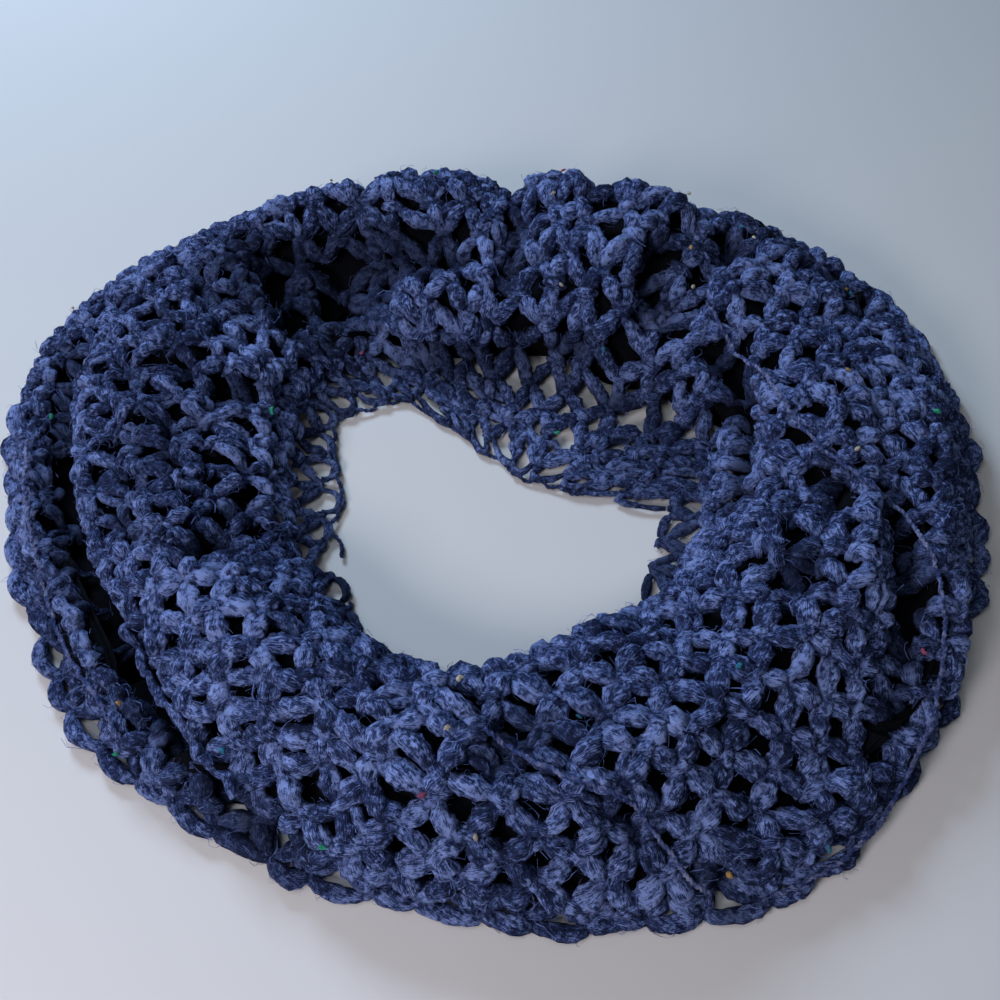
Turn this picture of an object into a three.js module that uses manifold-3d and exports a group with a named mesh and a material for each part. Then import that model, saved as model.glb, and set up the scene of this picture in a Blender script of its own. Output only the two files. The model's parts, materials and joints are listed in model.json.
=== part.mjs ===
// Infinity scarf of chunky openwork knit, dropped in a loose ring on a flat surface.
// Millimetres, +Z up. The surface it lies on is z = 0, and the middle of its outline is x = y = 0.
import * as THREE from 'three';
import { mergeVertices } from 'three/addons/utils/BufferGeometryUtils.js';
import Module from 'manifold-3d';

// Cloth and gaps
const KNIT = 6; // from the back to the front of the plump stitches
const SEAM = 0.3; // between one piece and the next
const CORE_GAP = 0.5; // between the upper cloth and the folded layers under it
const UNDERLAP = 40; // width of the outermost layer, from its tucked edge to the rim
const RIM_ROUNDING = 2;
const FOOT_RISE = 4; // the cloth's middle at the foot of the inner flank, above where it lies flat
const TURN_RUN = 9; // from where the flat hem starts to rise to the foot
const NAVY = 0x26376b;

// The ring's own centre, from which radii are measured, seen from the middle of the outline
const CENTRE_X = 6.25;
const CENTRE_Y = -11.9;

// Stretches of the ring by compass, each 45 degrees wide, with the columns that its folds need
const STRETCH_ANGLE = 45;
const STRETCHES = [
  { name: 'right', columns: 10 },
  { name: 'back_right', columns: 15 },
  { name: 'back', columns: 12 },
  { name: 'back_left', columns: 12 },
  { name: 'left', columns: 16 },
  { name: 'front_left', columns: 11 },
  { name: 'front', columns: 10 },
  { name: 'front_right', columns: 10 },
];

// Section of the laid cloth at each angle about the ring's centre, a row for every 20 degrees.
// Radii run outwards from the hem, over the inner lip, the crest and the outer ridge, to the rim.
// Heights, of the middle of the cloth, have a z in their name.
const SECTION_COLUMNS = [
  'az', 'hem', 'foot', 'lip', 'lipZ', 'dip', 'dipZ', 'crest', 'crestZ',
  'furrow', 'furrowZ', 'ridge', 'ridgeZ', 'edge', 'rim',
];
const SECTION_ROWS = [
  [0, 86, 110, 126, 33, 138, 36, 165, 56, 192, 42, 215, 44, 238, 251],
  [20, 48, 120, 133, 32, 147, 36, 172, 56, 205, 46, 235, 40, 262, 275],
  [40, 38, 116, 128, 34, 148, 42, 176, 56, 208, 44, 238, 50, 268, 294],
  [60, 37, 104, 114, 40, 138, 57, 178, 66, 206, 60, 230, 52, 248, 262],
  [80, 41, 106, 114, 40, 138, 56, 180, 67, 204, 62, 222, 44, 234, 246],
  [100, 50, 106, 118, 36, 142, 44, 192, 62, 212, 58, 226, 42, 238, 249],
  [120, 96, 128, 142, 30, 166, 36, 210, 60, 235, 52, 250, 38, 262, 272],
  [140, 118, 134, 150, 38, 176, 44, 215, 56, 252, 36, 264, 32, 276, 286],
  [160, 99, 116, 134, 38, 156, 43, 195, 56, 246, 32, 262, 34, 275, 287],
  [180, 90, 107, 124, 36, 144, 43, 178, 54, 219, 27, 236, 30, 249, 259],
  [200, 91, 105, 122, 36, 138, 43, 165, 54, 199, 25, 215, 28, 227, 237],
  [220, 95, 108, 119, 34, 132, 44, 158, 56, 190, 26, 206, 26, 218, 227],
  [240, 102, 115, 125, 40, 141, 51, 165, 58, 190, 32, 201, 27, 210, 217],
  [260, 104, 117, 126, 41, 144, 53, 168, 58, 190, 46, 200, 32, 208, 215],
  [280, 94, 107, 116, 41, 137, 51, 165, 57, 191, 45, 205, 30, 216, 225],
  [300, 85, 98, 107, 34, 128, 45, 165, 54, 203, 24, 216, 23, 229, 238],
  [320, 89, 102, 112, 30, 132, 42, 168, 54, 203, 26, 217, 28, 229, 237],
  [340, 80, 102, 116, 34, 134, 41, 165, 56, 198, 32, 213, 34, 227, 240],
];

// Places along a section, from the hem at 0: the turn is where the flat hem starts to rise, at 1,
// then come foot, lip, dip, crest, furrow and ridge, and the edge where the layers meet is last
const FOOT = 2;
const RIDGE = 7;
const EDGE = 8;
const STEPS_PER_PLACE = 2;
const CORE_END = RIDGE + 1 / STEPS_PER_PLACE;

// Folds, gathers and hollows: a row each, from one place along the section to another.
// They are as deep as given, a ridge where positive, and half as deep at about 0.8 of the half angle.
const FOLD_COLUMNS = ['az', 'halfAngle', 'from', 'to', 'depth'];
const FOLD_ROWS = [
  // hump, hollows and notch of the far side
  [30, 6, 4, 7.4, -6],
  [49.5, 5.5, 2.8, 7, -15],
  [60, 6, 2.4, 6.4, 7],
  [74, 8, 2.6, 5.6, 4],
  [88, 5.5, 2.8, 7.3, -11],
  [99, 5, 4.4, 6.6, 5],
  [107, 7, 2.2, 4.6, 8],
  [121, 9, 2.6, 6.2, -11],
  [136, 6, 3, 6.5, 4],
  // gathers of the left inner flank
  [147, 4, 2.3, 5.6, -5],
  [155, 4, 2.3, 5.6, 4],
  [163, 3.8, 2.2, 5.4, -6],
  [167.5, 3.6, 2.2, 5.2, 4],
  [172, 3.6, 2.2, 5.3, -6],
  [176.5, 3.6, 2.2, 5, 4],
  [181, 3.6, 2.2, 5.2, -6],
  [185.5, 3.6, 2.2, 5, 4],
  [190, 3.6, 2.2, 5.1, -6],
  [194.5, 3.6, 2.2, 4.9, 4],
  [199, 4, 2.2, 5, -5],
  [206, 5, 2.3, 4.8, -4],
  // soft undulations of the near roll
  [222, 8, 3, 6, 4],
  [247, 8, 4, 6.6, -4],
  [266, 8, 3, 5.4, 3],
  [286, 9, 4.5, 6, 6],
  [293, 6, 2.4, 4.2, 5],
  [308, 7, 3, 5.6, -5],
  [332, 8, 3.2, 6, 4],
  [352, 8, 3.2, 6.2, -7],
  [10, 8, 3, 6.4, 4],
];

// Openings of the net where one layer lies by itself, the largest of the knit's repeat.
// Inset is from the hem, or from the rim, and a row runs between the two angles.
const NET_LENGTH = 12;
const NET_WIDTH = 7;
const NET_SIDES = 6;
const NET_MARGIN = 7; // least distance from the middle of an opening to where the hem starts to rise
const NET_UNEVENNESS = 0.15; // share by which the pitch along a row wanders
const CUT_BELOW = 1;
const NET_COLUMNS = ['from', 'to', 'inset', 'pitch'];
const HEM_NET_ROWS = [
  [5, 210, 7.5, 19],
  [12, 122, 22, 20],
  [15, 118, 36.5, 21],
  [22, 112, 51, 22],
];
const RIM_NET_ROWS = [[0, 360, 7.5, 24]];

const byName = (names, rows) =>
  rows.map((row) => Object.fromEntries(names.map((name, i) => [name, row[i]])));
const SECTIONS = byName(SECTION_COLUMNS, SECTION_ROWS);
const FOLDS = byName(FOLD_COLUMNS, FOLD_ROWS);

const wasm = await Module();
wasm.setup();

function smooth(a, b, c, d, t) {
  const first = c - a;
  const second = 2 * a - 5 * b + 4 * c - d;
  const third = 3 * b - a - 3 * c + d;
  return b + 0.5 * t * (first + t * (second + t * third));
}

// A size of the section at any angle, smoothed round the ring
function sizeAt(name, az) {
  const count = SECTIONS.length;
  const place = ((((az / 360) * count) % count) + count) % count;
  const row = Math.floor(place);
  const near = [-1, 0, 1, 2].map((k) => SECTIONS[(row + k + count) % count][name]);
  return smooth(...near, place - row);
}

function turnRadius(az) {
  return sizeAt('foot', az) - TURN_RUN;
}

function foldDepth(az, place) {
  let depth = 0;
  for (const fold of FOLDS) {
    const turn = THREE.MathUtils.euclideanModulo(az - fold.az + 180, 360) - 180;
    const along = THREE.MathUtils.clamp((place - fold.from) / (fold.to - fold.from), 0, 1);
    depth += fold.depth * Math.exp(-((turn / fold.halfAngle) ** 2)) * Math.sin(Math.PI * along);
  }
  return depth;
}

// Radius and height of the middle of the cloth, before its folds
function sectionPoint(az, place) {
  const half = KNIT / 2;
  const points = [
    [sizeAt('hem', az), half],
    [turnRadius(az), half],
    [sizeAt('foot', az), half + FOOT_RISE],
    [sizeAt('lip', az), sizeAt('lipZ', az)],
    [sizeAt('dip', az), sizeAt('dipZ', az)],
    [sizeAt('crest', az), sizeAt('crestZ', az)],
    [sizeAt('furrow', az), sizeAt('furrowZ', az)],
    [sizeAt('ridge', az), sizeAt('ridgeZ', az)],
    [sizeAt('edge', az), KNIT + SEAM + half],
  ];
  const start = Math.min(Math.max(Math.floor(place), 0), EDGE - 1);
  const near = [-1, 0, 1, 2].map((k) => points[Math.min(Math.max(start + k, 0), EDGE)]);
  const radius = smooth(...near.map((point) => point[0]), place - start);
  const height = smooth(...near.map((point) => point[1]), place - start);
  const lowest = place > RIDGE ? KNIT + SEAM + half : half;
  return [radius, Math.max(height, lowest)];
}

function onRing(az, radius, height) {
  const angle = THREE.MathUtils.degToRad(az);
  return new THREE.Vector3(
    CENTRE_X + radius * Math.cos(angle),
    CENTRE_Y + radius * Math.sin(angle),
    height,
  );
}

// The middle of the cloth with its folds, each pushed square to the section
function clothPoint(az, place) {
  const step = 0.02;
  const [radius, height] = sectionPoint(az, place);
  const [r0, z0] = sectionPoint(az, place - step);
  const [r1, z1] = sectionPoint(az, place + step);
  const length = Math.hypot(r1 - r0, z1 - z0);
  const depth = foldDepth(az, place);
  const r = radius - (depth * (z1 - z0)) / length;
  const z = height + (depth * (r1 - r0)) / length;
  return onRing(az, r, Math.max(z, KNIT / 2));
}

// A point moved out of the cloth's middle, square to it, and kept off the floor
function layerPoint(az, place, out) {
  const turn = 0.5;
  const step = 0.1;
  const further = clothPoint(az, Math.min(place + step, EDGE));
  const along = further.sub(clothPoint(az, Math.max(place - step, 0)));
  const round = clothPoint(az + turn, place).sub(clothPoint(az - turn, place));
  const normal = along.cross(round).normalize();
  const point = clothPoint(az, place).addScaledVector(normal, out);
  point.z = Math.max(point.z, 0);
  return point;
}

// A closed body through loops of equally many points. Ends that are open get a strip across.
function loft(loops, isRing) {
  const size = loops[0].length;
  const positions = loops.flat().flatMap((point) => [point.x, point.y, point.z]);
  const faces = [];
  const spans = isRing ? loops.length : loops.length - 1;
  for (let i = 0; i < spans; i++) {
    const a = i * size;
    const b = ((i + 1) % loops.length) * size;
    for (let k = 0; k < size; k++) {
      const next = (k + 1) % size;
      faces.push(a + k, b + k, b + next, a + k, b + next, a + next);
    }
  }
  if (!isRing) {
    const last = (loops.length - 1) * size;
    for (let k = 0; k < size / 2 - 1; k++) {
      const across = size - 1 - k;
      faces.push(k, k + 1, across - 1, k, across - 1, across);
      faces.push(last + k, last + across - 1, last + k + 1, last + k, last + across, last + across - 1);
    }
  }
  return turnedOut(positions, faces);
}

// The body of a list of points and faces, with the faces turned to point outwards
function turnedOut(positions, faces) {
  const corner = (i) => new THREE.Vector3().fromArray(positions, 3 * faces[i]);
  let volume = 0;
  for (let i = 0; i < faces.length; i += 3) {
    volume += corner(i).dot(corner(i + 1).cross(corner(i + 2)));
  }
  if (volume < 0) faces.reverse();
  const geometry = new THREE.BufferGeometry();
  geometry.setAttribute('position', new THREE.Float32BufferAttribute(positions, 3));
  geometry.setIndex(faces);
  return geometry;
}

function solidOf(geometry) {
  geometry.deleteAttribute('normal');
  geometry.deleteAttribute('uv');
  const merged = mergeVertices(geometry);
  const vertProperties = new Float32Array(merged.attributes.position.array);
  const triVerts = new Uint32Array(merged.index.array);
  return new wasm.Manifold(new wasm.Mesh({ numProp: 3, vertProperties, triVerts }));
}

function geometryOf(solid) {
  const mesh = solid.getMesh();
  const geometry = new THREE.BufferGeometry();
  geometry.setAttribute('position', new THREE.Float32BufferAttribute(mesh.vertProperties, 3));
  geometry.setIndex([...mesh.triVerts]);
  return geometry;
}

// One leaf-shaped opening, long way round the ring
function netOpening(az, radius) {
  const leaf = new THREE.Shape();
  leaf.absellipse(0, 0, NET_WIDTH / 2, NET_LENGTH / 2, 0, 2 * Math.PI);
  const geometry = new THREE.ExtrudeGeometry(leaf, {
    depth: KNIT + 2 * CUT_BELOW,
    bevelEnabled: false,
    curveSegments: NET_SIDES,
  });
  const middle = onRing(az, radius, -CUT_BELOW);
  geometry.rotateZ(THREE.MathUtils.degToRad(az));
  geometry.translate(middle.x, middle.y, middle.z);
  return geometry;
}

// Cuts the openings of a net whose middles lie in a stretch, well clear of its seams
function cutNet(geometry, start, rows, radiusOf, fits) {
  let solid = solidOf(geometry);
  for (const [index, row] of byName(NET_COLUMNS, rows).entries()) {
    let az = row.from;
    while (az < row.to) {
      const radius = radiusOf(az, row.inset);
      const clear = THREE.MathUtils.radToDeg((NET_LENGTH / 2 + NET_MARGIN / 2) / radius);
      const inStretch = THREE.MathUtils.euclideanModulo(az - start, 360);
      if (inStretch > clear && inStretch < STRETCH_ANGLE - clear && fits(az, radius)) {
        solid = solid.subtract(solidOf(netOpening(az, radius)));
      }
      const wander = 1 + NET_UNEVENNESS * Math.sin(az + index);
      az += THREE.MathUtils.radToDeg(row.pitch / radius) * wander;
    }
  }
  return geometryOf(solid);
}

// The first stretch lies across the ring's +X side, and each starts at a seam
function startOf(index) {
  return (index - 0.5) * STRETCH_ANGLE;
}

// Angles of a stretch's columns, from its first seam to its last
function columnAngles(start, columns) {
  return Array.from({ length: columns + 1 }, (_, i) => start + (STRETCH_ANGLE * i) / columns);
}

// Opens a seam: the loops at both ends of a stretch move half of the gap inwards
function openSeams(loops, angles) {
  const shift = (loop, az, side) => {
    const angle = THREE.MathUtils.degToRad(az);
    const round = new THREE.Vector3(-Math.sin(angle), Math.cos(angle), 0);
    loop.forEach((point) => point.addScaledVector(round, (side * SEAM) / 2));
  };
  shift(loops[0], angles[0], 1);
  shift(loops.at(-1), angles.at(-1), -1);
  return loops;
}

function clothPlaces(from, to) {
  const count = Math.round((to - from) * STEPS_PER_PLACE);
  return Array.from({ length: count + 1 }, (_, i) => from + i / STEPS_PER_PLACE);
}

// The cloth that shows, from the hem over the roll to where it meets the layer below
function upperCloth(start, columns) {
  const places = clothPlaces(0, EDGE);
  const angles = columnAngles(start, columns);
  const loops = angles.map((az) => [
    ...places.map((place) => layerPoint(az, place, KNIT / 2)),
    ...places.toReversed().map((place) => layerPoint(az, place, -KNIT / 2)),
  ]);
  const body = loft(openSeams(loops, angles), false);
  const fits = (az, radius) => radius < turnRadius(az) - NET_MARGIN + NET_WIDTH / 2;
  return cutNet(body, start, HEM_NET_ROWS, (az, inset) => sizeAt('hem', az) + inset, fits);
}

// The single layer that lies on the floor and shows beyond the roll
function lowerCloth(start, columns) {
  const angles = columnAngles(start, columns);
  const loops = angles.map((az) => {
    const rim = sizeAt('rim', az);
    return [
      onRing(az, rim - UNDERLAP, KNIT),
      onRing(az, rim - RIM_ROUNDING, KNIT),
      onRing(az, rim, KNIT - RIM_ROUNDING),
      onRing(az, rim, RIM_ROUNDING),
      onRing(az, rim - RIM_ROUNDING, 0),
      onRing(az, rim - UNDERLAP, 0),
    ];
  });
  const body = loft(openSeams(loops, angles), false);
  return cutNet(body, start, RIM_NET_ROWS, (az, inset) => sizeAt('rim', az) - inset, () => true);
}

// The folded layers inside the roll, as one solid that the outer layers lie on
function hiddenLayers() {
  const places = clothPlaces(FOOT, CORE_END).toReversed();
  const angles = STRETCHES.flatMap(({ columns }, i) => columnAngles(startOf(i), columns).slice(0, -1));
  const loops = angles.map((az) => {
    const under = places.map((place) => layerPoint(az, place, -KNIT / 2 - CORE_GAP));
    const centre = new THREE.Vector2(CENTRE_X, CENTRE_Y);
    const outermost = new THREE.Vector2(under[0].x, under[0].y).distanceTo(centre);
    const innermost = new THREE.Vector2(under.at(-1).x, under.at(-1).y).distanceTo(centre);
    const tucked = sizeAt('rim', az) - UNDERLAP - SEAM;
    return [
      ...under,
      onRing(az, innermost + SEAM, 0),
      onRing(az, tucked, 0),
      onRing(az, tucked, KNIT + SEAM),
      onRing(az, outermost, KNIT + SEAM),
    ];
  });
  return loft(loops, true);
}

function piece(name, geometry, shade) {
  const material = new THREE.MeshStandardMaterial({
    color: new THREE.Color(NAVY).multiplyScalar(shade),
    roughness: 0.95,
    metalness: 0,
  });
  const mesh = new THREE.Mesh(geometry, material);
  mesh.name = name;
  return mesh;
}

const scarf = new THREE.Group();
STRETCHES.forEach(({ name, columns }, i) => {
  const start = startOf(i);
  scarf.add(piece(`upper_${name}`, upperCloth(start, columns), 1));
  scarf.add(piece(`lower_${name}`, lowerCloth(start, columns), 0.85));
});
scarf.add(piece('hidden_layers', hiddenLayers(), 0.7));

export default scarf;
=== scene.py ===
"""Looks of a navy infinity scarf in chunky openwork knit, dropped in a ring on a pale floor.

Metres, +Z up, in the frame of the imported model. The cloth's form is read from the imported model's
own nodes, and every strand of the net, its edge strands, flecks and loose fibres are laid on it.
"""

import json
import math

import bpy
import numpy as np
from bpy.props import FloatProperty, FloatVectorProperty, IntProperty, PointerProperty
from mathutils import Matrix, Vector
from mathutils.bvhtree import BVHTree
from mathutils.kdtree import KDTree

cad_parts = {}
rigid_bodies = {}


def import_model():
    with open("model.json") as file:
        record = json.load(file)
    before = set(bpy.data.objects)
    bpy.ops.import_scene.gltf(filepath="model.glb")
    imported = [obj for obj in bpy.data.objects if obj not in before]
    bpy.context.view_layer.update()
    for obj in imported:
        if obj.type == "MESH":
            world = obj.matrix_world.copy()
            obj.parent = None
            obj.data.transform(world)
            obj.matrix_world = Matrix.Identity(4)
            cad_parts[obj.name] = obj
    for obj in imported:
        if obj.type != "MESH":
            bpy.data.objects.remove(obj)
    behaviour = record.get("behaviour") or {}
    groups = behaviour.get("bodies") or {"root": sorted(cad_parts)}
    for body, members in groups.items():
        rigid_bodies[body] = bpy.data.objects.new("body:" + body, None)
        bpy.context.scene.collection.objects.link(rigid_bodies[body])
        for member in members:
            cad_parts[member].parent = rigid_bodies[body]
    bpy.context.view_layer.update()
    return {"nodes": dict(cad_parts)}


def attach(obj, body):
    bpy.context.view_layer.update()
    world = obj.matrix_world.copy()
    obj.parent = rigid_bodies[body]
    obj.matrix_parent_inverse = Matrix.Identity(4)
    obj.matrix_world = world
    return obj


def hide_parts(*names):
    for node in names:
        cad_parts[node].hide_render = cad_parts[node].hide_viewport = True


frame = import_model()

bl_info = {
    "name": "Infinity scarf in openwork knit",
    "version": (1, 0, 0),
    "blender": (4, 5, 0),
    "location": "View3D > Sidebar > Scarf",
    "description": "Dresses the laid scarf's solids with its net of slub yarn",
    "category": "Object",
}

MM = 0.001
TAU = 2 * math.pi
BODY = "root"
COMPASS = ["right", "back_right", "back", "back_left", "left", "front_left", "front", "front_right"]
SECTOR = 360 / len(COMPASS)
RING_CENTRE = np.array([6.25, -11.9, 0.0]) * MM  # radii and angles are measured from here
KNIT = 6 * MM  # thickness of the solids' cloth wall

# The photograph's camera: a square frame, 50 degrees above the table
IMAGE = 1000
FOCAL_PIXELS = 1150
ELEVATION = math.radians(50)
CAMERA_DISTANCE = 609 * MM
CAMERA_TARGET = RING_CENTRE + np.array([0.0, 10.0, 0.0]) * MM
SENSOR = 36


def linear(code):
    """A colour's sRGB hex code as linear red, green and blue."""
    parts = [int(code[i : i + 2], 16) / 255 for i in (1, 3, 5)]
    return tuple(c / 12.92 if c <= 0.04045 else ((c + 0.055) / 1.055) ** 2.4 for c in parts)


class ScarfSizes(bpy.types.PropertyGroup):
    """Sizes of the yarn and its net"""

    stitch_pitch: FloatProperty(
        name="Stitch pitch", description="From one opening to the next along a row",
        default=23.5 * MM, unit="LENGTH",
    )
    rows: IntProperty(
        name="Rows", description="Rows of openings from the hem to the outer layer",
        default=14, min=4, max=24,
    )
    slub: FloatProperty(
        name="Slub radius", description="Half the thickness of a strand at its plumpest",
        default=4.7 * MM, unit="LENGTH",
    )
    turn: FloatProperty(
        name="Turn radius", description="Half the thickness of a strand where it is pulled tight",
        default=1.6 * MM, unit="LENGTH",
    )
    open_strand: FloatProperty(
        name="Open strand radius", description="Half the thickness of a strand in the open hem net",
        default=1.75 * MM, unit="LENGTH",
    )
    edge_strand: FloatProperty(
        name="Edge strand radius", description="Half the thickness of the selvedges' two-ply strand",
        default=1.0 * MM, unit="LENGTH",
    )
    fibres: IntProperty(
        name="Loose fibres", description="Fibres standing off each eighth of the ring",
        default=1500, min=0, max=6000,
    )


class ScarfColours(bpy.types.PropertyGroup):
    """Colours of the yarn and the floor"""

    navy: FloatVectorProperty(
        name="Navy", description="The yarn's middle tone", subtype="COLOR", default=linear("#1a3472"),
    )
    shade: FloatVectorProperty(
        name="Dark fibre", description="The darkest fibres of the blend", subtype="COLOR",
        default=linear("#0a0f24"),
    )
    # the lightest fibres, also the colour of the fibre lines, which are partly painted highlights
    light: FloatVectorProperty(
        name="Light fibre", description="The lightest fibres of the blend", subtype="COLOR",
        default=linear("#a8bfff"),
    )
    # painted shade: the folded layers are of the same navy yarn, coloured near black for the shade they lie
    # in under the net
    inner: FloatVectorProperty(
        name="Inner layers", description="The folded layers, seen through the net", subtype="COLOR",
        default=linear("#070b16"),
    )
    floor: FloatVectorProperty(
        name="Floor", description="The floor's pale paint", subtype="COLOR", default=linear("#c9c7c3"),
    )


# The cloth's form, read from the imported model

AZIMUTHS = 360
SECTION_POINTS = 161
RAY_TOP = 0.2
RAY_STEP = 1 * MM
RAY_REACH = 0.32
FLAT_RISE = 3 * MM  # the hem lies flat up to where its top face has risen by this much
OPEN_FADE = 16 * MM  # the open hem net turns into the roll's over this much


def tree_of(prefix):
    """The nodes whose names start so, as one tree for ray casts."""
    points, faces = [], []
    for name, node in frame["nodes"].items():
        if name.startswith(prefix):
            start = len(points)
            points += [v.co.copy() for v in node.data.vertices]
            faces += [[start + i for i in p.vertices] for p in node.data.polygons]
    return BVHTree.FromPolygons(points, faces)


def polar(azimuth, radius, height=0.0):
    """A point at an angle in degrees and a radius from the ring's centre."""
    angle = np.radians(azimuth)
    x = RING_CENTRE[0] + radius * np.cos(angle)
    y = RING_CENTRE[1] + radius * np.sin(angle)
    return np.stack(np.broadcast_arrays(x, y, height), -1)


def azimuth_of(points):
    """Angles in degrees of points about the ring's centre."""
    away = points - RING_CENTRE
    return np.degrees(np.arctan2(away[..., 1], away[..., 0])) % 360


def heights(tree, azimuth):
    """Radii and heights of the top of a tree's surface, from the hole outwards."""
    found = []
    for radius in np.arange(0, RAY_REACH, RAY_STEP):
        start = Vector(polar(azimuth, radius, RAY_TOP))
        hit = tree.ray_cast(start, Vector((0, 0, -1)))[0]
        if hit is not None:
            found.append((radius, hit.z))
    return np.array(found)


def blur(values, width, axis, wrap):
    """Values smoothed along one axis by a bell of that width in steps."""
    reach = int(3 * width) + 1
    offsets = np.arange(-reach, reach + 1)
    weights = np.exp(-0.5 * (offsets / width) ** 2)
    weights /= weights.sum()
    moved = np.moveaxis(values, axis, 0)
    mode = "wrap" if wrap else "edge"
    padded = np.pad(moved, [(reach, reach)] + [(0, 0)] * (moved.ndim - 1), mode=mode)
    out = sum(w * padded[i : i + len(moved)] for i, w in enumerate(weights))
    return np.moveaxis(out, 0, axis)


def ease(x):
    """A smooth step from 0 to 1."""
    x = np.clip(x, 0, 1)
    return x * x * (3 - 2 * x)


def unit(vectors):
    """Vectors made one long."""
    return vectors / np.linalg.norm(vectors, axis=-1, keepdims=True)


def distances(line, stretch=1.0):
    """How far along a line each of its points lies, with its steps stretched."""
    steps = np.linalg.norm(np.diff(line, axis=0), axis=1) * stretch
    return np.concatenate([[0], np.cumsum(steps)])


def points_along(line, along, places):
    """Points on a line at some distances along it."""
    return np.stack([np.interp(places, along, part) for part in line.T], -1)


def short_turn(start, stop):
    """The way from one angle to another in degrees, the short way round."""
    return (stop - start + 180) % 360 - 180


def near_angle(azimuth, middle, spread):
    """1 at an angle of the ring, falling off to 0 on both sides of it."""
    return np.exp(-((short_turn(middle, azimuth) / spread) ** 2))


def camera_axes():
    """Where the camera stands, and its forward, right and up directions."""
    forward = np.array([0, math.cos(ELEVATION), -math.sin(ELEVATION)])
    right = np.array([1.0, 0, 0])
    up = np.cross(right, forward)
    return CAMERA_TARGET - forward * CAMERA_DISTANCE, forward, right, up


def seen_at(tree, pixel):
    """The point and normal of a surface, or of the flat layer round it, that the photograph shows
    at a pixel."""
    eye, forward, right, up = camera_axes()
    across = (pixel[0] - IMAGE / 2) / FOCAL_PIXELS
    down = (pixel[1] - IMAGE / 2) / FOCAL_PIXELS
    ray = forward + right * across - up * down
    hit, normal, _, _ = tree.ray_cast(Vector(eye), Vector(ray).normalized())
    if hit is None:
        return eye + ray * (KNIT - eye[2]) / ray[2], np.array([0.0, 0.0, 1.0])
    return np.array(hit), np.array(normal)


# Creases of the laid cloth where the photograph shows them: depth and half width in millimetres,
# raised where the depth is negative, and the way along them in the photograph's pixels
SEEN_CREASES = [
    # the furrow between the roll and the outer layer on the left, the ridge in it, the line beyond it
    (15, 9, [(86, 345), (72, 390), (67, 440), (68, 490), (76, 540), (92, 580), (106, 612), (126, 650)]),
    (18, 10, [
        (106, 612), (126, 650), (148, 695), (168, 735), (192, 770), (220, 802), (262, 836), (300, 862),
    ]),
    (-5, 9, [
        (98, 350), (88, 420), (86, 490), (100, 545), (122, 590), (150, 650), (182, 700), (222, 752),
    ]),
    (8, 7, [(26, 545), (38, 585), (54, 625), (72, 665), (90, 698)]),
    # the deep hollow at the back left, and the streaks that run into it
    (13, 26, [(226, 250), (280, 262), (330, 296), (352, 334)]),
    (9, 20, [(330, 240), (400, 250), (470, 256)]),
    (18, 12, [(290, 232), (286, 275), (296, 318), (326, 340)]),
    (12, 9, [(330, 250), (340, 290), (346, 330)]),
    (8, 7, [(262, 196), (266, 240), (268, 280)]),
    (8, 7, [(352, 236), (374, 270), (390, 298)]),
    (9, 7, [(176, 250), (200, 278), (214, 322)]),
    (8, 7, [(228, 280), (244, 304), (258, 330)]),
    (8, 7, [(132, 306), (158, 314), (180, 330)]),
    (9, 7, [(158, 344), (182, 366), (206, 380)]),
    # the pleats of the left flank, which run in towards the hole
    (11, 8, [(194, 386), (240, 390), (296, 394)]),
    (11, 8, [(140, 408), (176, 422), (216, 428)]),
    (8, 7, [(112, 366), (150, 388), (184, 402)]),
    (8, 7, [(104, 428), (140, 446), (186, 462)]),
    (10, 7, [(214, 466), (236, 470), (262, 478)]),
    (9, 7, [(102, 470), (130, 484), (170, 494)]),
    (11, 8, [(186, 504), (226, 508), (268, 506)]),
    (12, 8, [(156, 542), (190, 548), (242, 536)]),
    (8, 7, [(98, 500), (122, 528), (150, 545)]),
    # the back: a dark band over a lump, the strip under it, and a ridge down from the notch
    (10, 12, [(356, 262), (400, 256), (446, 254), (474, 262)]),
    (-8, 12, [(392, 308), (430, 288), (466, 296)]),
    (11, 9, [(404, 350), (450, 356), (520, 354), (606, 352)]),
    (-8, 9, [(516, 196), (500, 226), (490, 258), (480, 300)]),
    (10, 9, [(508, 184), (516, 206), (512, 240), (504, 300)]),
    (-4, 12, [(545, 196), (580, 192), (616, 194), (644, 204)]),
    (10, 7, [(536, 244), (548, 276)]),
    (10, 7, [(562, 288), (574, 320)]),
    (9, 7, [(600, 258), (612, 290)]),
    # the deep hollow at the back right, and its rims
    (18, 11, [(672, 222), (662, 258), (650, 294), (668, 316)]),
    (10, 10, [(704, 206), (698, 232), (724, 246), (716, 276)]),
    (-8, 9, [(704, 262), (710, 234), (734, 222)]),
    (-8, 10, [(738, 212), (766, 210), (792, 226)]),
    (-7, 9, [(694, 302), (732, 290), (756, 264)]),
    # the right band: grooves, pits and the ridges between them
    (15, 9, [(700, 352), (730, 360), (742, 390), (746, 430), (738, 470), (728, 520)]),
    (9, 8, [(688, 404), (710, 424), (700, 456)]),
    (-7, 11, [(776, 330), (768, 390), (776, 450), (770, 510), (768, 556)]),
    (18, 9, [(822, 452), (836, 484), (836, 520)]),
    (11, 10, [(814, 520), (808, 560), (786, 596)]),
    (10, 8, [(760, 560), (788, 574), (800, 604)]),
    (-7, 10, [(858, 474), (864, 530), (856, 576), (840, 606)]),
    (14, 8, [(878, 480), (900, 540), (908, 590), (912, 640), (904, 684), (888, 730), (868, 772)]),
    (-7, 8, [(912, 500), (938, 560), (946, 620), (940, 690), (918, 750), (888, 800)]),
    # the front: the hollow inside the ring, and the dark lines that run out from it
    (18, 12, [(484, 708), (518, 722), (550, 712)]),
    (10, 9, [(456, 742), (510, 758), (560, 778)]),
    (10, 9, [(564, 734), (596, 716), (630, 704)]),
    (8, 8, [(588, 796), (636, 826), (672, 868)]),
    (11, 11, [(684, 866), (720, 880), (762, 880)]),
]
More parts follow.
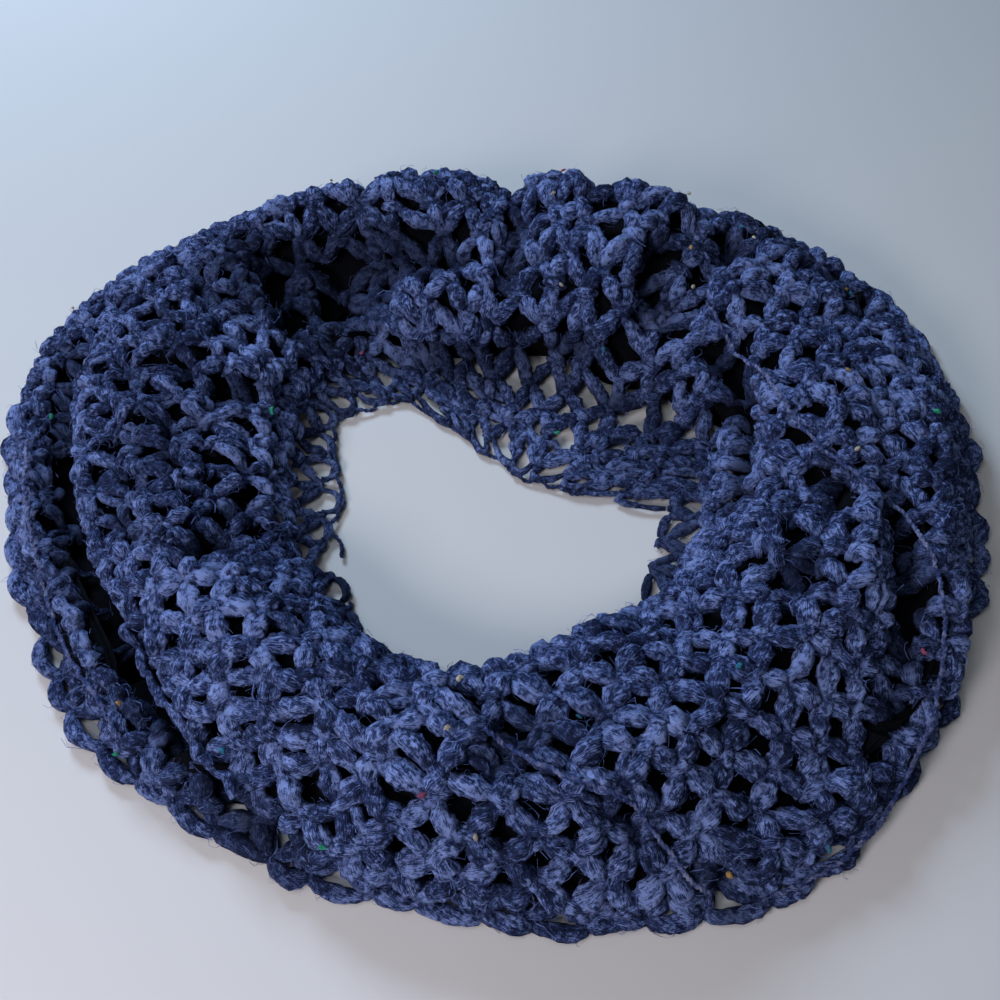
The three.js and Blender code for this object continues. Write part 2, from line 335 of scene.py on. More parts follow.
# The like on the sides that the photograph hides, as angles in degrees and shares of the section
HIDDEN_CREASES = [
    (11, 10, [(24, 0.86), (44, 0.82), (66, 0.84), (84, 0.8)]),
    (11, 9, [(96, 0.84), (118, 0.8), (140, 0.84)]),
    (10, 9, [(70, 0.64), (73, 0.8)]),
    (10, 9, [(112, 0.66), (109, 0.84)]),
    (10, 9, [(48, 0.66), (50, 0.78)]),
    (11, 10, [(132, 0.62), (136, 0.76)]),
    (-7, 11, [(30, 0.74), (60, 0.72), (88, 0.75)]),
    (-7, 11, [(104, 0.74), (130, 0.72), (152, 0.76)]),
]
CREASE_STEP = 3 * MM
CREASE_FADE = 20 * MM  # a crease fades out over this much at each end

# The painted shade of the yarn: darker where the cloth sees little of the sky past the folds, or is pressed
# in by a crease
SKY_STEP = 3  # every third place of the grid, both ways
SKY_RAYS = 24
SKY_START = 3 * MM
SKY_REACH = 110 * MM
SKY_DARK = 0.5  # a place that sees this share of the sky lies in the deepest shade
SKY_OPEN = 0.98
DEEPEST = 0.2
SUNK_DARK = 9.5 * MM  # and so does one that is pressed in by this much
SLIT_DEPTH = 12  # millimetres, from which a narrow crease is too deep for strands to bridge it
SLIT_WIDTH = 16
SLIT = 0.84  # share of the crease's depth from which strands are left out of it


class Cloth:
    """The laid cloth's top face as a grid, by angle and by the share of the way along its section."""

    SMOOTH_ALONG = 2.0
    SMOOTH_ROUND = 1.2

    def __init__(self):
        upper = tree_of("upper_")
        lower = tree_of("lower_")
        grid, length, rim, flat = [], [], [], []
        for i in range(AZIMUTHS):
            azimuth = i * 360 / AZIMUTHS
            section = heights(upper, azimuth)
            steps = np.hypot(*np.diff(section, axis=0).T)
            along = np.concatenate([[0], np.cumsum(steps)])
            even = np.linspace(0, along[-1], SECTION_POINTS)
            radius = np.interp(even, along, section[:, 0])
            height = np.interp(even, along, section[:, 1])
            grid.append(polar(azimuth, radius, height))
            length.append(along[-1])
            rim.append(heights(lower, azimuth)[-1, 0])
            flat.append(np.argmax(height > KNIT + FLAT_RISE) / SECTION_POINTS)
        self.points = blur(np.array(grid), self.SMOOTH_ALONG, 1, False)
        self.points = blur(self.points, self.SMOOTH_ROUND, 0, True)
        self.length, self.rim, self.flat = (blur(np.array(x), 2.0, 0, True) for x in (length, rim, flat))
        self.measure()
        self.plain = upper
        self.crease(upper)
        self.measure()
        self.find_sky()

    def measure(self):
        """Works out the normals, and a tree for ray casts."""
        along = np.gradient(self.points, axis=1)
        ring = np.concatenate([self.points[-1:], self.points, self.points[:1]])
        normals = np.cross(along, (ring[2:] - ring[:-2]) / 2)
        self.normals = unit(normals)
        cell = np.arange(AZIMUTHS * SECTION_POINTS).reshape(AZIMUTHS, SECTION_POINTS)
        beside = np.roll(cell, -1, axis=0)
        quads = np.stack([cell[:, :-1], cell[:, 1:], beside[:, 1:], beside[:, :-1]], -1).reshape(-1, 4)
        self.tree = BVHTree.FromPolygons(self.points.reshape(-1, 3).tolist(), quads.tolist())

    def crease(self, upper):
        """Presses the creases into the grid, each fading out at its ends."""
        lines = [(d, w, np.array([seen_at(upper, p)[0] for p in path])) for d, w, path in SEEN_CREASES]
        lines += [(d, w, np.array([self.at(*p)[0] for p in path])) for d, w, path in HIDDEN_CREASES]
        sunk = np.zeros(self.points.shape[:2])
        self.slit = np.zeros_like(sunk)
        for depth, width, line in lines:
            along = distances(line)
            steps = np.arange(0, along[-1], CREASE_STEP)
            dots = points_along(line, along, steps)
            fade = ease(steps / CREASE_FADE) * ease((along[-1] - steps) / CREASE_FADE)
            trough = np.zeros_like(sunk)
            for dot, share in zip(dots, fade):
                apart = np.linalg.norm(self.points - dot, axis=-1)
                trough = np.maximum(trough, share * np.exp(-((apart / (width * MM)) ** 2)))
            sunk += depth * MM * trough
            if depth >= SLIT_DEPTH and width <= SLIT_WIDTH:
                self.slit = np.maximum(self.slit, trough)
        self.sunk = sunk
        self.points = self.points - self.normals * sunk[..., None]
        self.points[..., 2] = np.maximum(self.points[..., 2], KNIT)

    def find_sky(self):
        """Works out how much of the sky each place sees past the folds round it, less where a crease
        presses it in, as the painted shade of the yarn laid there, and keeps a tree of the places."""
        places = self.points[::SKY_STEP, ::SKY_STEP].reshape(-1, 3)
        normals = self.normals[::SKY_STEP, ::SKY_STEP].reshape(-1, 3)
        rng = np.random.default_rng(SKY_RAYS)
        rays = unit(rng.normal(0, 1, (SKY_RAYS, 3)))
        self.nearest = KDTree(len(places))
        seen = []
        for i, (point, normal) in enumerate(zip(places, normals)):
            self.nearest.insert(point, i)
            start = Vector(point + normal * SKY_START)
            ways = rays * np.sign(rays @ normal)[:, None]
            ways[:, 2] = np.abs(ways[:, 2])
            clear = [self.tree.ray_cast(start, Vector(way), SKY_REACH)[0] is None for way in ways]
            seen.append(sum(clear) / len(clear))
        self.nearest.balance()
        pressed = ease(self.sunk[::SKY_STEP, ::SKY_STEP].ravel() / SUNK_DARK)
        unshaded_share = ease((np.array(seen) - SKY_DARK) / (SKY_OPEN - SKY_DARK)) * (1 - pressed)
        self.sky = DEEPEST + (1 - DEEPEST) * unshaded_share

    def sky_at(self, points):
        """The painted shade of the cloth nearest to each point, from how much of the sky it sees, 1 where
        it lies open.
        """
        return self.sky[[self.nearest.find(point)[1] for point in points]]

    def slit_at(self, azimuth, share):
        """How far down a narrow crease each place lies, as a share of its depth."""
        i = np.rint(np.asarray(azimuth) * AZIMUTHS / 360).astype(int) % AZIMUTHS
        j = np.rint(np.clip(share, 0, 1) * (SECTION_POINTS - 1)).astype(int)
        return self.slit[i, j]

    def at(self, azimuth, share):
        """Point on the cloth's top and its outward normal, at an angle and a share of the section."""
        i = (np.asarray(azimuth, float) % 360) * AZIMUTHS / 360
        j = np.clip(share, 0, 1) * (SECTION_POINTS - 1)
        i0 = np.floor(i).astype(int) % AZIMUTHS
        j0 = np.minimum(np.floor(j).astype(int), SECTION_POINTS - 2)
        i1 = (i0 + 1) % AZIMUTHS
        fi = (i - np.floor(i))[..., None]
        fj = (j - j0)[..., None]
        out = []
        for g in (self.points, self.normals):
            near = g[i0, j0] * (1 - fj) + g[i0, j0 + 1] * fj
            far = g[i1, j0] * (1 - fj) + g[i1, j0 + 1] * fj
            out.append(near * (1 - fi) + far * fi)
        return out

    def size_at(self, values, azimuth):
        """A size known at each angle, at any angle."""
        return np.interp(np.asarray(azimuth) % 360, np.arange(AZIMUTHS + 1) * 360 / AZIMUTHS,
                         np.append(values, values[0]))

    def openness(self, azimuth, share):
        """1 in the open hem net that lies flat, 0 on the roll."""
        past = (share - self.size_at(self.flat, azimuth)) * self.size_at(self.length, azimuth)
        return 1 - ease(past / OPEN_FADE + 0.5)


cloth = Cloth()


# Node and mesh helpers


def add(tree, kind, settings=None, **links):
    """Adds a node, sets its properties and inputs, and links outputs, or nodes by their first output,
    to the inputs that are named, or numbered as i0, i1 and so on."""
    node = tree.nodes.new(kind)
    for key, value in (settings or {}).items():
        if isinstance(key, str) and hasattr(node, key):
            setattr(node, key, value)
        else:
            node.inputs[key].default_value = value
    for name, source in links.items():
        index = int(name[1:]) if name[0] == "i" and name[1:].isdigit() else name.replace("_", " ")
        output = source.outputs[0] if isinstance(source, bpy.types.Node) else source
        tree.links.new(output, node.inputs[index])
    return node


def maths(tree, operation, *terms, kind="ShaderNodeMath"):
    """Adds a node that works out something from numbers, outputs and nodes, in their order."""
    fixed = {i: term for i, term in enumerate(terms) if isinstance(term, (float, tuple))}
    linked = {f"i{i}": term for i, term in enumerate(terms) if i not in fixed}
    return add(tree, kind, {"operation": operation} | fixed, **linked)


def scaled(tree, vector, factor):
    """Adds a node that scales a vector by a number, an output or a node."""
    if isinstance(factor, float):
        return add(tree, "ShaderNodeVectorMath", {"operation": "SCALE", "Scale": factor}, i0=vector)
    return add(tree, "ShaderNodeVectorMath", {"operation": "SCALE"}, i0=vector, Scale=factor)


def noise(tree, place, *look):
    """Adds a noise of some scale, detail, roughness and distortion."""
    settings = dict(zip(("Scale", "Detail", "Roughness", "Distortion"), look))
    return add(tree, "ShaderNodeTexNoise", settings, **({} if place is None else {"Vector": place}))


def stored(tree, name, kind, geometry, value):
    """Adds a node that keeps a value at each point of a geometry, under a name."""
    return add(tree, "GeometryNodeStoreNamedAttribute",
               {"data_type": kind, "domain": "POINT", "Name": name}, Geometry=geometry, Value=value)


def placed(name, data):
    """A new object in the scene, at the origin."""
    piece = bpy.data.objects.new(name, data)
    bpy.context.scene.collection.objects.link(piece)
    return piece


def keep_at_points(mesh, name, values):
    """Keeps a number for each point of a mesh, under a name."""
    layer = mesh.attributes.new(name, "FLOAT", "POINT")
    layer.data.foreach_set("value", values.astype(np.float32))


TIGHT_SHADE = 0.4  # painted shade of the yarn where it is pulled tight and tucked under, as a share of where it is plump
PLY_REACH = 1.15  # how far the plies stand out, as a share of a strand's radius
LUMP = 2.6 * MM  # how far the slub yarn's lumps differ in height


def polylines(name, strands, on_top):
    """A mesh of open lines, with each line's shade, and each point's thickness and painted shade, darker
    deep in the folds and where the strand is pulled tight, as attributes."""
    points = np.concatenate([s["points"].reshape(-1, 3) for s in strands])
    thick = np.concatenate([s["radius"].ravel() for s in strands])
    shade = np.concatenate([np.repeat(s["shade"], s["points"].shape[1]) for s in strands])
    plumpest = [s["radius"].max(axis=1, keepdims=True) for s in strands]
    full = np.concatenate([(s["radius"] / most).ravel() for s, most in zip(strands, plumpest)])
    points[:, 2] = np.maximum(points[:, 2], thick * PLY_REACH + LUMP / 2)
    tucked_shade = TIGHT_SHADE + (1 - TIGHT_SHADE) * full
    # painted shade: the sky seen by the cloth nearest each point, times the tucked shade; none on strands
    # that lie on top
    painted_light = np.ones(len(points)) if on_top else cloth.sky_at(points) * tucked_shade
    edges, start = [], 0
    for s in strands:
        count, size = s["points"].shape[:2]
        index = start + np.arange(count * size).reshape(count, size)
        edges.append(np.stack([index[:, :-1], index[:, 1:]], -1).reshape(-1, 2))
        start += count * size
    mesh = bpy.data.meshes.new(name)
    mesh.from_pydata(points.tolist(), np.concatenate(edges).tolist(), [])
    for key, values in (("thick", thick), ("shade", shade), ("painted_light", painted_light)):
        keep_at_points(mesh, key, values)
    return placed(name, mesh)


def new_tree(name, values):
    """A Geometry Nodes tree with those named inputs and a material, and the outputs that give them."""
    tree = bpy.data.node_groups.new(name, "GeometryNodeTree")
    tree.interface.new_socket("Geometry", in_out="INPUT", socket_type="NodeSocketGeometry")
    for label, value in values.items():
        kind = "NodeSocketInt" if isinstance(value, int) else "NodeSocketFloat"
        tree.interface.new_socket(label, in_out="INPUT", socket_type=kind).default_value = value
    tree.interface.new_socket("Material", in_out="INPUT", socket_type="NodeSocketMaterial")
    tree.interface.new_socket("Geometry", in_out="OUTPUT", socket_type="NodeSocketGeometry")
    return tree, tree.nodes.new("NodeGroupInput").outputs


def dress(tree, given, geometry):
    """Ends a tree with what it makes, in its material."""
    dressed = add(tree, "GeometryNodeSetMaterial", Geometry=geometry, Material=given["Material"])
    add(tree, "NodeGroupOutput", i0=dressed)


def run_tree(piece, tree, values):
    """Runs a tree on a piece, with its inputs set by name, and leaves a plain mesh."""
    modifier = piece.modifiers.new(tree.name, "NODES")
    modifier.node_group = tree
    for item in tree.interface.items_tree:
        if item.in_out == "INPUT" and item.name in values:
            modifier[item.identifier] = values[item.name]
    evaluated = piece.evaluated_get(bpy.context.evaluated_depsgraph_get())
    made = bpy.data.meshes.new_from_object(evaluated)
    made.name = piece.name
    piece.modifiers.clear()
    old = piece.data
    piece.data = made
    bpy.data.meshes.remove(old)
    return piece


def yarn_tree():
    """Sweeps every line into a twisted, lobed strand as thick as its attribute says."""
    tree, given = new_tree("Yarn strands", {
        "Rings": 9, "Sides": 7, "Plies": 3.0, "Ply depth": 0.1, "Turns per metre": 20.0, "Lump": LUMP,
    })
    curves = add(tree, "GeometryNodeMeshToCurve", Mesh=given["Geometry"])
    smooth = add(tree, "GeometryNodeCurveSplineType", {"spline_type": "CATMULL_ROM"}, Curve=curves)
    even = add(tree, "GeometryNodeResampleCurve", Curve=smooth, Count=given["Rings"])
    length = add(tree, "GeometryNodeSplineParameter").outputs["Length"]
    run = stored(tree, "run", "FLOAT", even, length)
    thick = add(tree, "GeometryNodeInputNamedAttribute", {"data_type": "FLOAT", "Name": "thick"})
    sized = add(tree, "GeometryNodeSetCurveRadius", Curve=run, Radius=thick)
    turned = maths(tree, "MULTIPLY", length, maths(tree, "MULTIPLY", given["Turns per metre"], TAU))
    wound = add(tree, "GeometryNodeSetCurveTilt", Curve=sized, Tilt=turned)

    circle = add(tree, "GeometryNodeCurvePrimitiveCircle", {"mode": "RADIUS", "Radius": 1.0},
                 Resolution=given["Sides"])
    place = add(tree, "GeometryNodeInputPosition")
    ply = stored(tree, "ply", "FLOAT_VECTOR", circle, place)
    share = add(tree, "GeometryNodeSplineParameter").outputs["Factor"]
    turns = maths(tree, "MULTIPLY", share, maths(tree, "MULTIPLY", given["Plies"], TAU))
    lobe = maths(tree, "MULTIPLY_ADD", maths(tree, "COSINE", turns), given["Ply depth"], 1.0)
    profile = add(tree, "GeometryNodeSetPosition", Geometry=ply, Position=scaled(tree, place, lobe))

    sweep = add(tree, "GeometryNodeCurveToMesh", {"Fill Caps": True}, Curve=wound, Profile_Curve=profile)
    if "Scale" in sweep.inputs:
        tree.links.new(thick.outputs["Attribute"], sweep.inputs["Scale"])
    swing = maths(tree, "SUBTRACT", noise(tree, None, 190.0, 2.0), 0.5)
    rise = maths(tree, "MULTIPLY", swing, given["Lump"])
    offset = scaled(tree, add(tree, "GeometryNodeInputNormal"), rise)
    lumpy = add(tree, "GeometryNodeSetPosition", Geometry=sweep, Offset=offset)
    round_off = add(tree, "GeometryNodeSetShadeSmooth", Geometry=lumpy)
    dress(tree, given, add(tree, "GeometryNodeRealizeInstances", Geometry=round_off))
    return tree


FIBRE_CURL = 7 * MM  # the noise that bends the fibres moves them by up to half of this each way
FIBRE_FLOOR = 0.2 * MM  # no fibre lies lower
FIBRE_BOW = {"Start": (-0.5, 0.0, -0.1), "Middle": (0.0, 0.4, 0.4), "End": (0.5, -0.2, 0.05)}
FIBRE_LENGTHS = {2: 0.4, 3: 1.5}  # least and most, as shares of the tree's own length


def fibre_tree():
    """Scatters short bent fibres over a surface, each standing a little off it at its own slant."""
    tree, given = new_tree("Loose fibres", {
        "Density": 1000.0, "Length": 7 * MM, "Thickness": 0.065 * MM, "Slant": 0.55, "Seed": 0,
    })
    seed, slant, length = (given[name] for name in ("Seed", "Slant", "Length"))
    scatter = add(tree, "GeometryNodeDistributePointsOnFaces", {"distribute_method": "RANDOM"},
                  Mesh=given["Geometry"], Density=given["Density"], Seed=seed)
    bow = add(tree, "GeometryNodeCurveQuadraticBezier", {"Resolution": 4} | FIBRE_BOW)
    size = add(tree, "ShaderNodeCombineXYZ", X=length, Y=length, Z=length)
    sized = add(tree, "GeometryNodeTransform", Geometry=bow, Scale=size)
    ring = add(tree, "GeometryNodeCurvePrimitiveCircle", {"mode": "RADIUS", "Resolution": 3},
               Radius=given["Thickness"])
    fibre = add(tree, "GeometryNodeCurveToMesh", {"Fill Caps": True}, Curve=sized, Profile_Curve=ring)
    back = maths(tree, "MULTIPLY", slant, -1.0)
    least = add(tree, "ShaderNodeCombineXYZ", X=back, Y=back)
    most = add(tree, "ShaderNodeCombineXYZ", {"Z": TAU}, X=slant, Y=slant)
    angles = add(tree, "FunctionNodeRandomValue", {"data_type": "FLOAT_VECTOR"},
                 i0=least, i1=most, Seed=seed)
    turned = add(tree, "FunctionNodeEulerToRotation", i0=angles)
    whole = add(tree, "FunctionNodeRotateRotation", {"rotation_space": "LOCAL"},
                Rotation=scatter.outputs["Rotation"], Rotate_By=turned)
    lengths = add(tree, "FunctionNodeRandomValue", {"data_type": "FLOAT"} | FIBRE_LENGTHS, Seed=seed)
    instances = add(tree, "GeometryNodeInstanceOnPoints", Points=scatter, Instance=fibre,
                    Rotation=whole, Scale=lengths.outputs[1])
    real = add(tree, "GeometryNodeRealizeInstances", Geometry=instances)
    waves = noise(tree, None, 260.0, 1.0).outputs["Color"]
    centred = maths(tree, "SUBTRACT", waves, (0.5, 0.5, 0.5), kind="ShaderNodeVectorMath")
    curly = add(tree, "GeometryNodeSetPosition", Geometry=real, Offset=scaled(tree, centred, FIBRE_CURL))
    place = add(tree, "ShaderNodeSeparateXYZ", i0=add(tree, "GeometryNodeInputPosition"))
    height = maths(tree, "MAXIMUM", place.outputs["Z"], FIBRE_FLOOR)
    above = add(tree, "ShaderNodeCombineXYZ", X=place.outputs["X"], Y=place.outputs["Y"], Z=height)
    dress(tree, given, add(tree, "GeometryNodeSetPosition", Geometry=curly, Position=above))
    return tree


# Materials


def surface(name, constants):
    """A new material with its shader's constants, and the tree to add nodes to."""
    material = bpy.data.materials.new(name)
    material.use_nodes = True
    tree = material.node_tree
    shader = tree.nodes["Principled BSDF"]
    for label, value in constants.items():
        shader.inputs[label].default_value = value
    return material, tree, shader


def rgba(colour):
    """A colour with its alpha."""
    return (*colour[:3], 1.0)


BUNDLE_SCALE = 5.6  # bundles of fibre lie 0.7 mm apart across a strand
BUNDLE_LENGTH = 4 * MM  # and stay together for about this much along it
LINE_THICKNESS = (0.045, 0.03)  # of the single fibres along the strand and of the curls over it
RELIEF = 1.5 * MM


def slub_yarn(name, dark, middle, light, sheen=0.22):
    """Soft single-ply slub roving, a dyed blend of fine wool-like fibres laid side by side: matt, streaked
    along the strand, with lighter fibres lifting out of it, partly painted highlights, a dull sheen at its
    edges, and painted shade in the folds."""
    material, tree, shader = surface(name, {
        "Roughness": 0.95, "Specular IOR Level": 0.12, "Sheen Weight": sheen, "Sheen Roughness": 0.5,
        "Sheen Tint": rgba(linear("#6f8ad8")),
    })
    kept = [add(tree, "ShaderNodeAttribute", {"attribute_name": n}) for n in ("ply", "run", "shade", "painted_light")]
    ply = kept[0].outputs["Vector"]
    run, shade, painted_light = (node.outputs["Fac"] for node in kept[1:])
    length = maths(tree, "MULTIPLY", run, 1 / BUNDLE_LENGTH)
    apart = maths(tree, "MULTIPLY_ADD", shade, 57.0, length)
    lengthwise = add(tree, "ShaderNodeCombineXYZ", Z=apart)
    grain = maths(tree, "ADD", scaled(tree, ply, BUNDLE_SCALE), lengthwise, kind="ShaderNodeVectorMath")
    streaks = noise(tree, grain, 1.1, 4.0, 0.65, 1.6)
    # single light fibres on top, along the strand and curling over it, drawn 0.3 mm thick to show: partly
    # lighter fibres of the blend, partly painted highlights
    place = add(tree, "ShaderNodeTexCoord").outputs["Object"]
    fine = noise(tree, grain, 1.5, 2.0, 0.6, 2.0)
    curls = noise(tree, place, 380.0, 3.0, 0.6, 2.6)
    lines = []
    for source, thickness in zip((fine, curls), LINE_THICKNESS):
        off = maths(tree, "ABSOLUTE", maths(tree, "SUBTRACT", source, 0.5))
        lines.append(add(tree, "ShaderNodeMapRange",
                         {"From Min": 0.0, "From Max": thickness, "To Min": 1.0, "To Max": 0.0}, Value=off))
    fibre = maths(tree, "MAXIMUM", *lines)
    # tufts a few millimetres across, and a dye that took unevenly over the length of the cloth
    tufts = noise(tree, place, 300.0, 4.0, 0.6, 0.5)
    dye = noise(tree, place, 24.0, 3.0)
    mixed = maths(tree, "MULTIPLY_ADD", tufts, 0.8, streaks)
    toned = maths(tree, "MULTIPLY_ADD", shade, 0.16, mixed)
    dyed = maths(tree, "MULTIPLY_ADD", dye, 0.3, toned)
    spread = add(tree, "ShaderNodeMapRange", {"From Min": 1.01, "From Max": 1.27}, Value=dyed)
    ramp = add(tree, "ShaderNodeValToRGB", Fac=spread)
    stops = ramp.color_ramp.elements
    stops[0].position, stops[0].color = 0.1, rgba(dark)
    stops[1].position, stops[1].color = 0.95, rgba(light)
    stops.new(0.5).color = rgba(middle)
    amount = maths(tree, "MULTIPLY", fibre, spread)
    with_painted_highlights = add(tree, "ShaderNodeMix", {"data_type": "RGBA", 7: rgba(light)}, i0=amount, i6=ramp)
    relief = maths(tree, "MULTIPLY_ADD", fibre, 0.25, mixed)
    bump = add(tree, "ShaderNodeBump", {"Strength": 1.0, "Distance": RELIEF}, Height=relief)
    # painted shade: the colour is darkened by each point's painted light attribute
    tree.links.new(scaled(tree, with_painted_highlights.outputs[2], painted_light).outputs[0], shader.inputs["Base Color"])
    tree.links.new(bump.outputs[0], shader.inputs["Normal"])
    return material


# The net

SEED = 20
BORDER = 3 * MM  # from the hem, or from the tucked edge, to the first or last row
COUNT_STEP = 5  # rows gain or lose this many stitches at once, and stay staggered in between
OPEN_PITCH = 0.84  # pitch of the flat hem's stitches, as a share of the roll's
NET_DEPTH = 2.2 * MM  # from the solids' face in to the middle of the strands
HEM_REACH = 34 * MM  # the hem's strands are fine at its edge and thicker by this far in
HEM_FINENESS = 0.2
OPEN_ROWS = 0.2  # rows nearer to the hem than this share have the flat hem's pitch
WAVES = [(0.011, 3, 40), (0.008, 7, 9)]  # rows wander: by what share, times round, turn from row to row
PLEATS = (176, 32)  # angle and spread of the left flank, where stitches are drawn out to the hole
PLEAT_CROWDING = 0.12  # more stitches along a row there
PLEAT_DRAW = 0.35  # longer ones across the rows
PLEAT_SLIM = 0.26  # and thinner strands, with their holes drawn out
BACK_CROWDING = 0.3  # more stitches along a row at the back
FLAT_HEM = (70, 45)  # angle and spread of the hem's flat stretch at the back
HEM_GATHER = 0.12  # how much closer together its rows lie
PUFF = np.array([-0.06, 0.06, 0.19, 0.34, 0.5, 0.66, 0.81, 0.94, 1.06])  # places along a leg
BELLY = np.sin(np.clip(PUFF, 0, 1) * math.pi) ** 1.05


class Row:
    """One row of knots: their angles, and their shares of the way along the section."""

    PITCH_JITTER = (0.06, 0.15)  # at the front and at the back, where the cloth is bunched
    SHARE_JITTER = (0.003, 0.008)

    def __init__(self, rng, share, line_share, count, phase):
        angles = np.arange(0, 361, 1.0)
        wave = sum(size * np.sin(np.radians(angles * k) + turn * share) for size, k, turn in WAVES)
        shares = row_share(share, angles) + wave * (0.1 < share < 0.9)
        line = cloth.at(angles, row_share(line_share, angles))[0]
        drawn_in = PLEAT_CROWDING * near_angle(angles[1:], *PLEATS)
        crowded = 1 + drawn_in * math.sin(math.pi * min(1, share / 0.6))
        crowded = crowded + bunched(angles[1:], 0, BACK_CROWDING)
        along = distances(line, crowded)
        even = (np.arange(count) + phase) / count
        jitter = rng.normal(0, 1, count) * bunched(even * 360, *self.PITCH_JITTER)
        place = (even + jitter / count) % 1.0
        self.azimuth = np.sort(np.interp(place * along[-1], along, angles))
        jitter = rng.normal(0, 1, count) * bunched(self.azimuth, *self.SHARE_JITTER)
        self.share = np.interp(self.azimuth, angles, shares) + jitter
        from_hem = self.share * cloth.size_at(cloth.length, self.azimuth)
        fine = HEM_FINENESS + (1 - HEM_FINENESS) * (1 - ease(from_hem / HEM_REACH))
        self.open = cloth.openness(self.azimuth, self.share) * fine


def bunched(azimuth, front, back):
    """A size that grows from the front of the ring to the back."""
    return front + (back - front) * (0.5 + 0.5 * np.sin(np.radians(azimuth)))


def row_share(share, azimuth):
    """A row's share of the way along the section, with a border left at both ends."""
    border = BORDER / cloth.size_at(cloth.length, azimuth)
    drawn = share + PLEAT_DRAW * near_angle(azimuth, *PLEATS) * (1 - np.cos(TAU * share)) / TAU
    drawn = drawn - HEM_GATHER * near_angle(azimuth, *FLAT_HEM) * np.sin(TAU * share) / TAU
    return border + drawn * (1 - 2 * border)


def row_length(share):
    """The way round the ring along a row."""
    angles = np.arange(0, 361, 2.0)
    line = cloth.at(angles, row_share(share, angles))[0]
    return np.linalg.norm(np.diff(line, axis=0), axis=1).sum()


def net_rows(rng, sizes):
    """The rows of knots from the hem to the tucked edge, staggered where their counts are alike."""
    shares = np.linspace(0, 1, sizes.rows + 1)
    counts = []
    for share in shares:
        pitch = sizes.stitch_pitch * (OPEN_PITCH if share < OPEN_ROWS else 1)
        counts.append(COUNT_STEP * max(1, round(row_length(share) / pitch / COUNT_STEP)))
    rows = []
    for j, (share, count) in enumerate(zip(shares, counts)):
        alike = [s for s, c in zip(shares, counts) if c == count]
        rows.append(Row(rng, share, float(np.mean(alike)), count, 0.5 * (j % 2)))
    return rows


def legs_between(near, far):
    """Pairs of knots that a row of zigzag legs joins: each knot, with the last one before it across."""
    knots = sorted([(a, 0, i) for i, a in enumerate(near)] + [(a, 1, i) for i, a in enumerate(far)])
    last = {side: len(row) - 1 for side, row in enumerate((near, far))}
    pairs = []
    for _, side, i in knots:
        last[side] = i
        pairs.append((last[0], last[1]))
    return np.array(pairs).T


def shifted(points, normals, side, lift):
    """Lines on the cloth, moved sideways and outwards."""
    across = np.cross(normals, unit(np.gradient(points, axis=1)))
    return points + across * side[..., None] + normals * (lift - NET_DEPTH)[..., None]


# The two strands of a leg: how plump, how far to the side and how high, in millimetres, from and to
LEG_PAIR = [((0.9, 1.12), (0.2, 1.2), (1.4, 3.6)), ((0.55, 0.76), (2.6, 3.6), (0.8, 3.4))]
TUCK = 1.6 * MM  # how far a strand's ends are tucked under
OPEN_LIFT = (-2.2, 0.2)  # and how high the fine strands of the open net lie, in millimetres
BOW = 1.0 * MM  # how far a strand bows to the side as a whole
WOBBLE = 0.6 * MM  # and from point to point
END_SLIM = 0.6  # its thickness at its tips, as a share
OPEN_SIDE = 1.6 * MM  # how far the fine strands of the open net swing to the side


def leg_strands(rng, points, normals, thin, sizes, pair=None, slim=1.0):
    """Two plump strands for each leg, a proud one and one beside it, tucked under at both ends."""
    count = len(points)
    flip = rng.choice([-1, 1], (count, 1))
    thin = thin[:, None]
    out = []
    for order, (plump, apart, high) in enumerate(pair or LEG_PAIR):
        hand = flip * (1 if order == 0 else -1)
        side = hand * rng.uniform(*apart, (count, 1)) * MM
        crossing = rng.uniform(-0.5, 1.2, (count, 1)) + (PUFF - 0.5) * rng.normal(0, 0.9, (count, 1))
        open_side = hand * OPEN_SIDE * np.cos(PUFF * math.pi * 1.5)
        roll_side = side * (0.35 + 0.65 * BELLY) * (0.7 + 0.3 * crossing)
        lift = rng.uniform(*high, (count, 1)) * MM * BELLY - TUCK * (1 - BELLY)
        lift = lift * (1 - thin) + thin * (rng.uniform(*OPEN_LIFT, (count, 1)) * MM)
        bow = rng.normal(0, BOW, (count, 1)) * np.sin(np.clip(PUFF, 0, 1) * math.pi)
        wobble = bow + rng.normal(0, WOBBLE, (count, len(PUFF)))
        slub = sizes.turn + (sizes.slub * rng.uniform(*plump, (count, 1)) - sizes.turn) * BELLY
        fine = sizes.open_strand * (0.85 + 0.3 * BELLY) * rng.uniform(0.85, 1.25, (count, 1))
        radius = (slub * (1 - thin) + fine * thin) * slim
        radius[:, [0, -1]] *= END_SLIM
        moved = shifted(points, normals, roll_side * (1 - thin) + open_side * thin + wobble, lift)
        out.append({"points": moved, "radius": radius, "shade": rng.random(count)})
    return out


def along_legs(start, change):
    """What changes along each leg, at the places where its strands have points."""
    return start[:, None] + change[:, None] * PUFF


def net_legs(rng, near, far, sizes):
    """The legs between two rows of the net."""
    a, b = legs_between(near.azimuth, far.azimuth)
    azimuth = along_legs(near.azimuth[a], short_turn(near.azimuth[a], far.azimuth[b]))
    share = along_legs(near.share[a], far.share[b] - near.share[a])
    kept = cloth.slit_at(azimuth[:, 3:6], share[:, 3:6]).max(axis=1) < SLIT
    points, normals = cloth.at(azimuth[kept], share[kept])
    thin = (near.open[a] + far.open[b])[kept] / 2
    slim = 1 - PLEAT_SLIM * near_angle(azimuth[kept, 4:5], *PLEATS)
    return leg_strands(rng, points, normals, thin, sizes, slim=slim)


LOOP = np.array([-0.5, -0.34, -0.16, 0.0, 0.16, 0.34, 0.5])
LOOP_ARCH = 1 - (2 * LOOP) ** 2
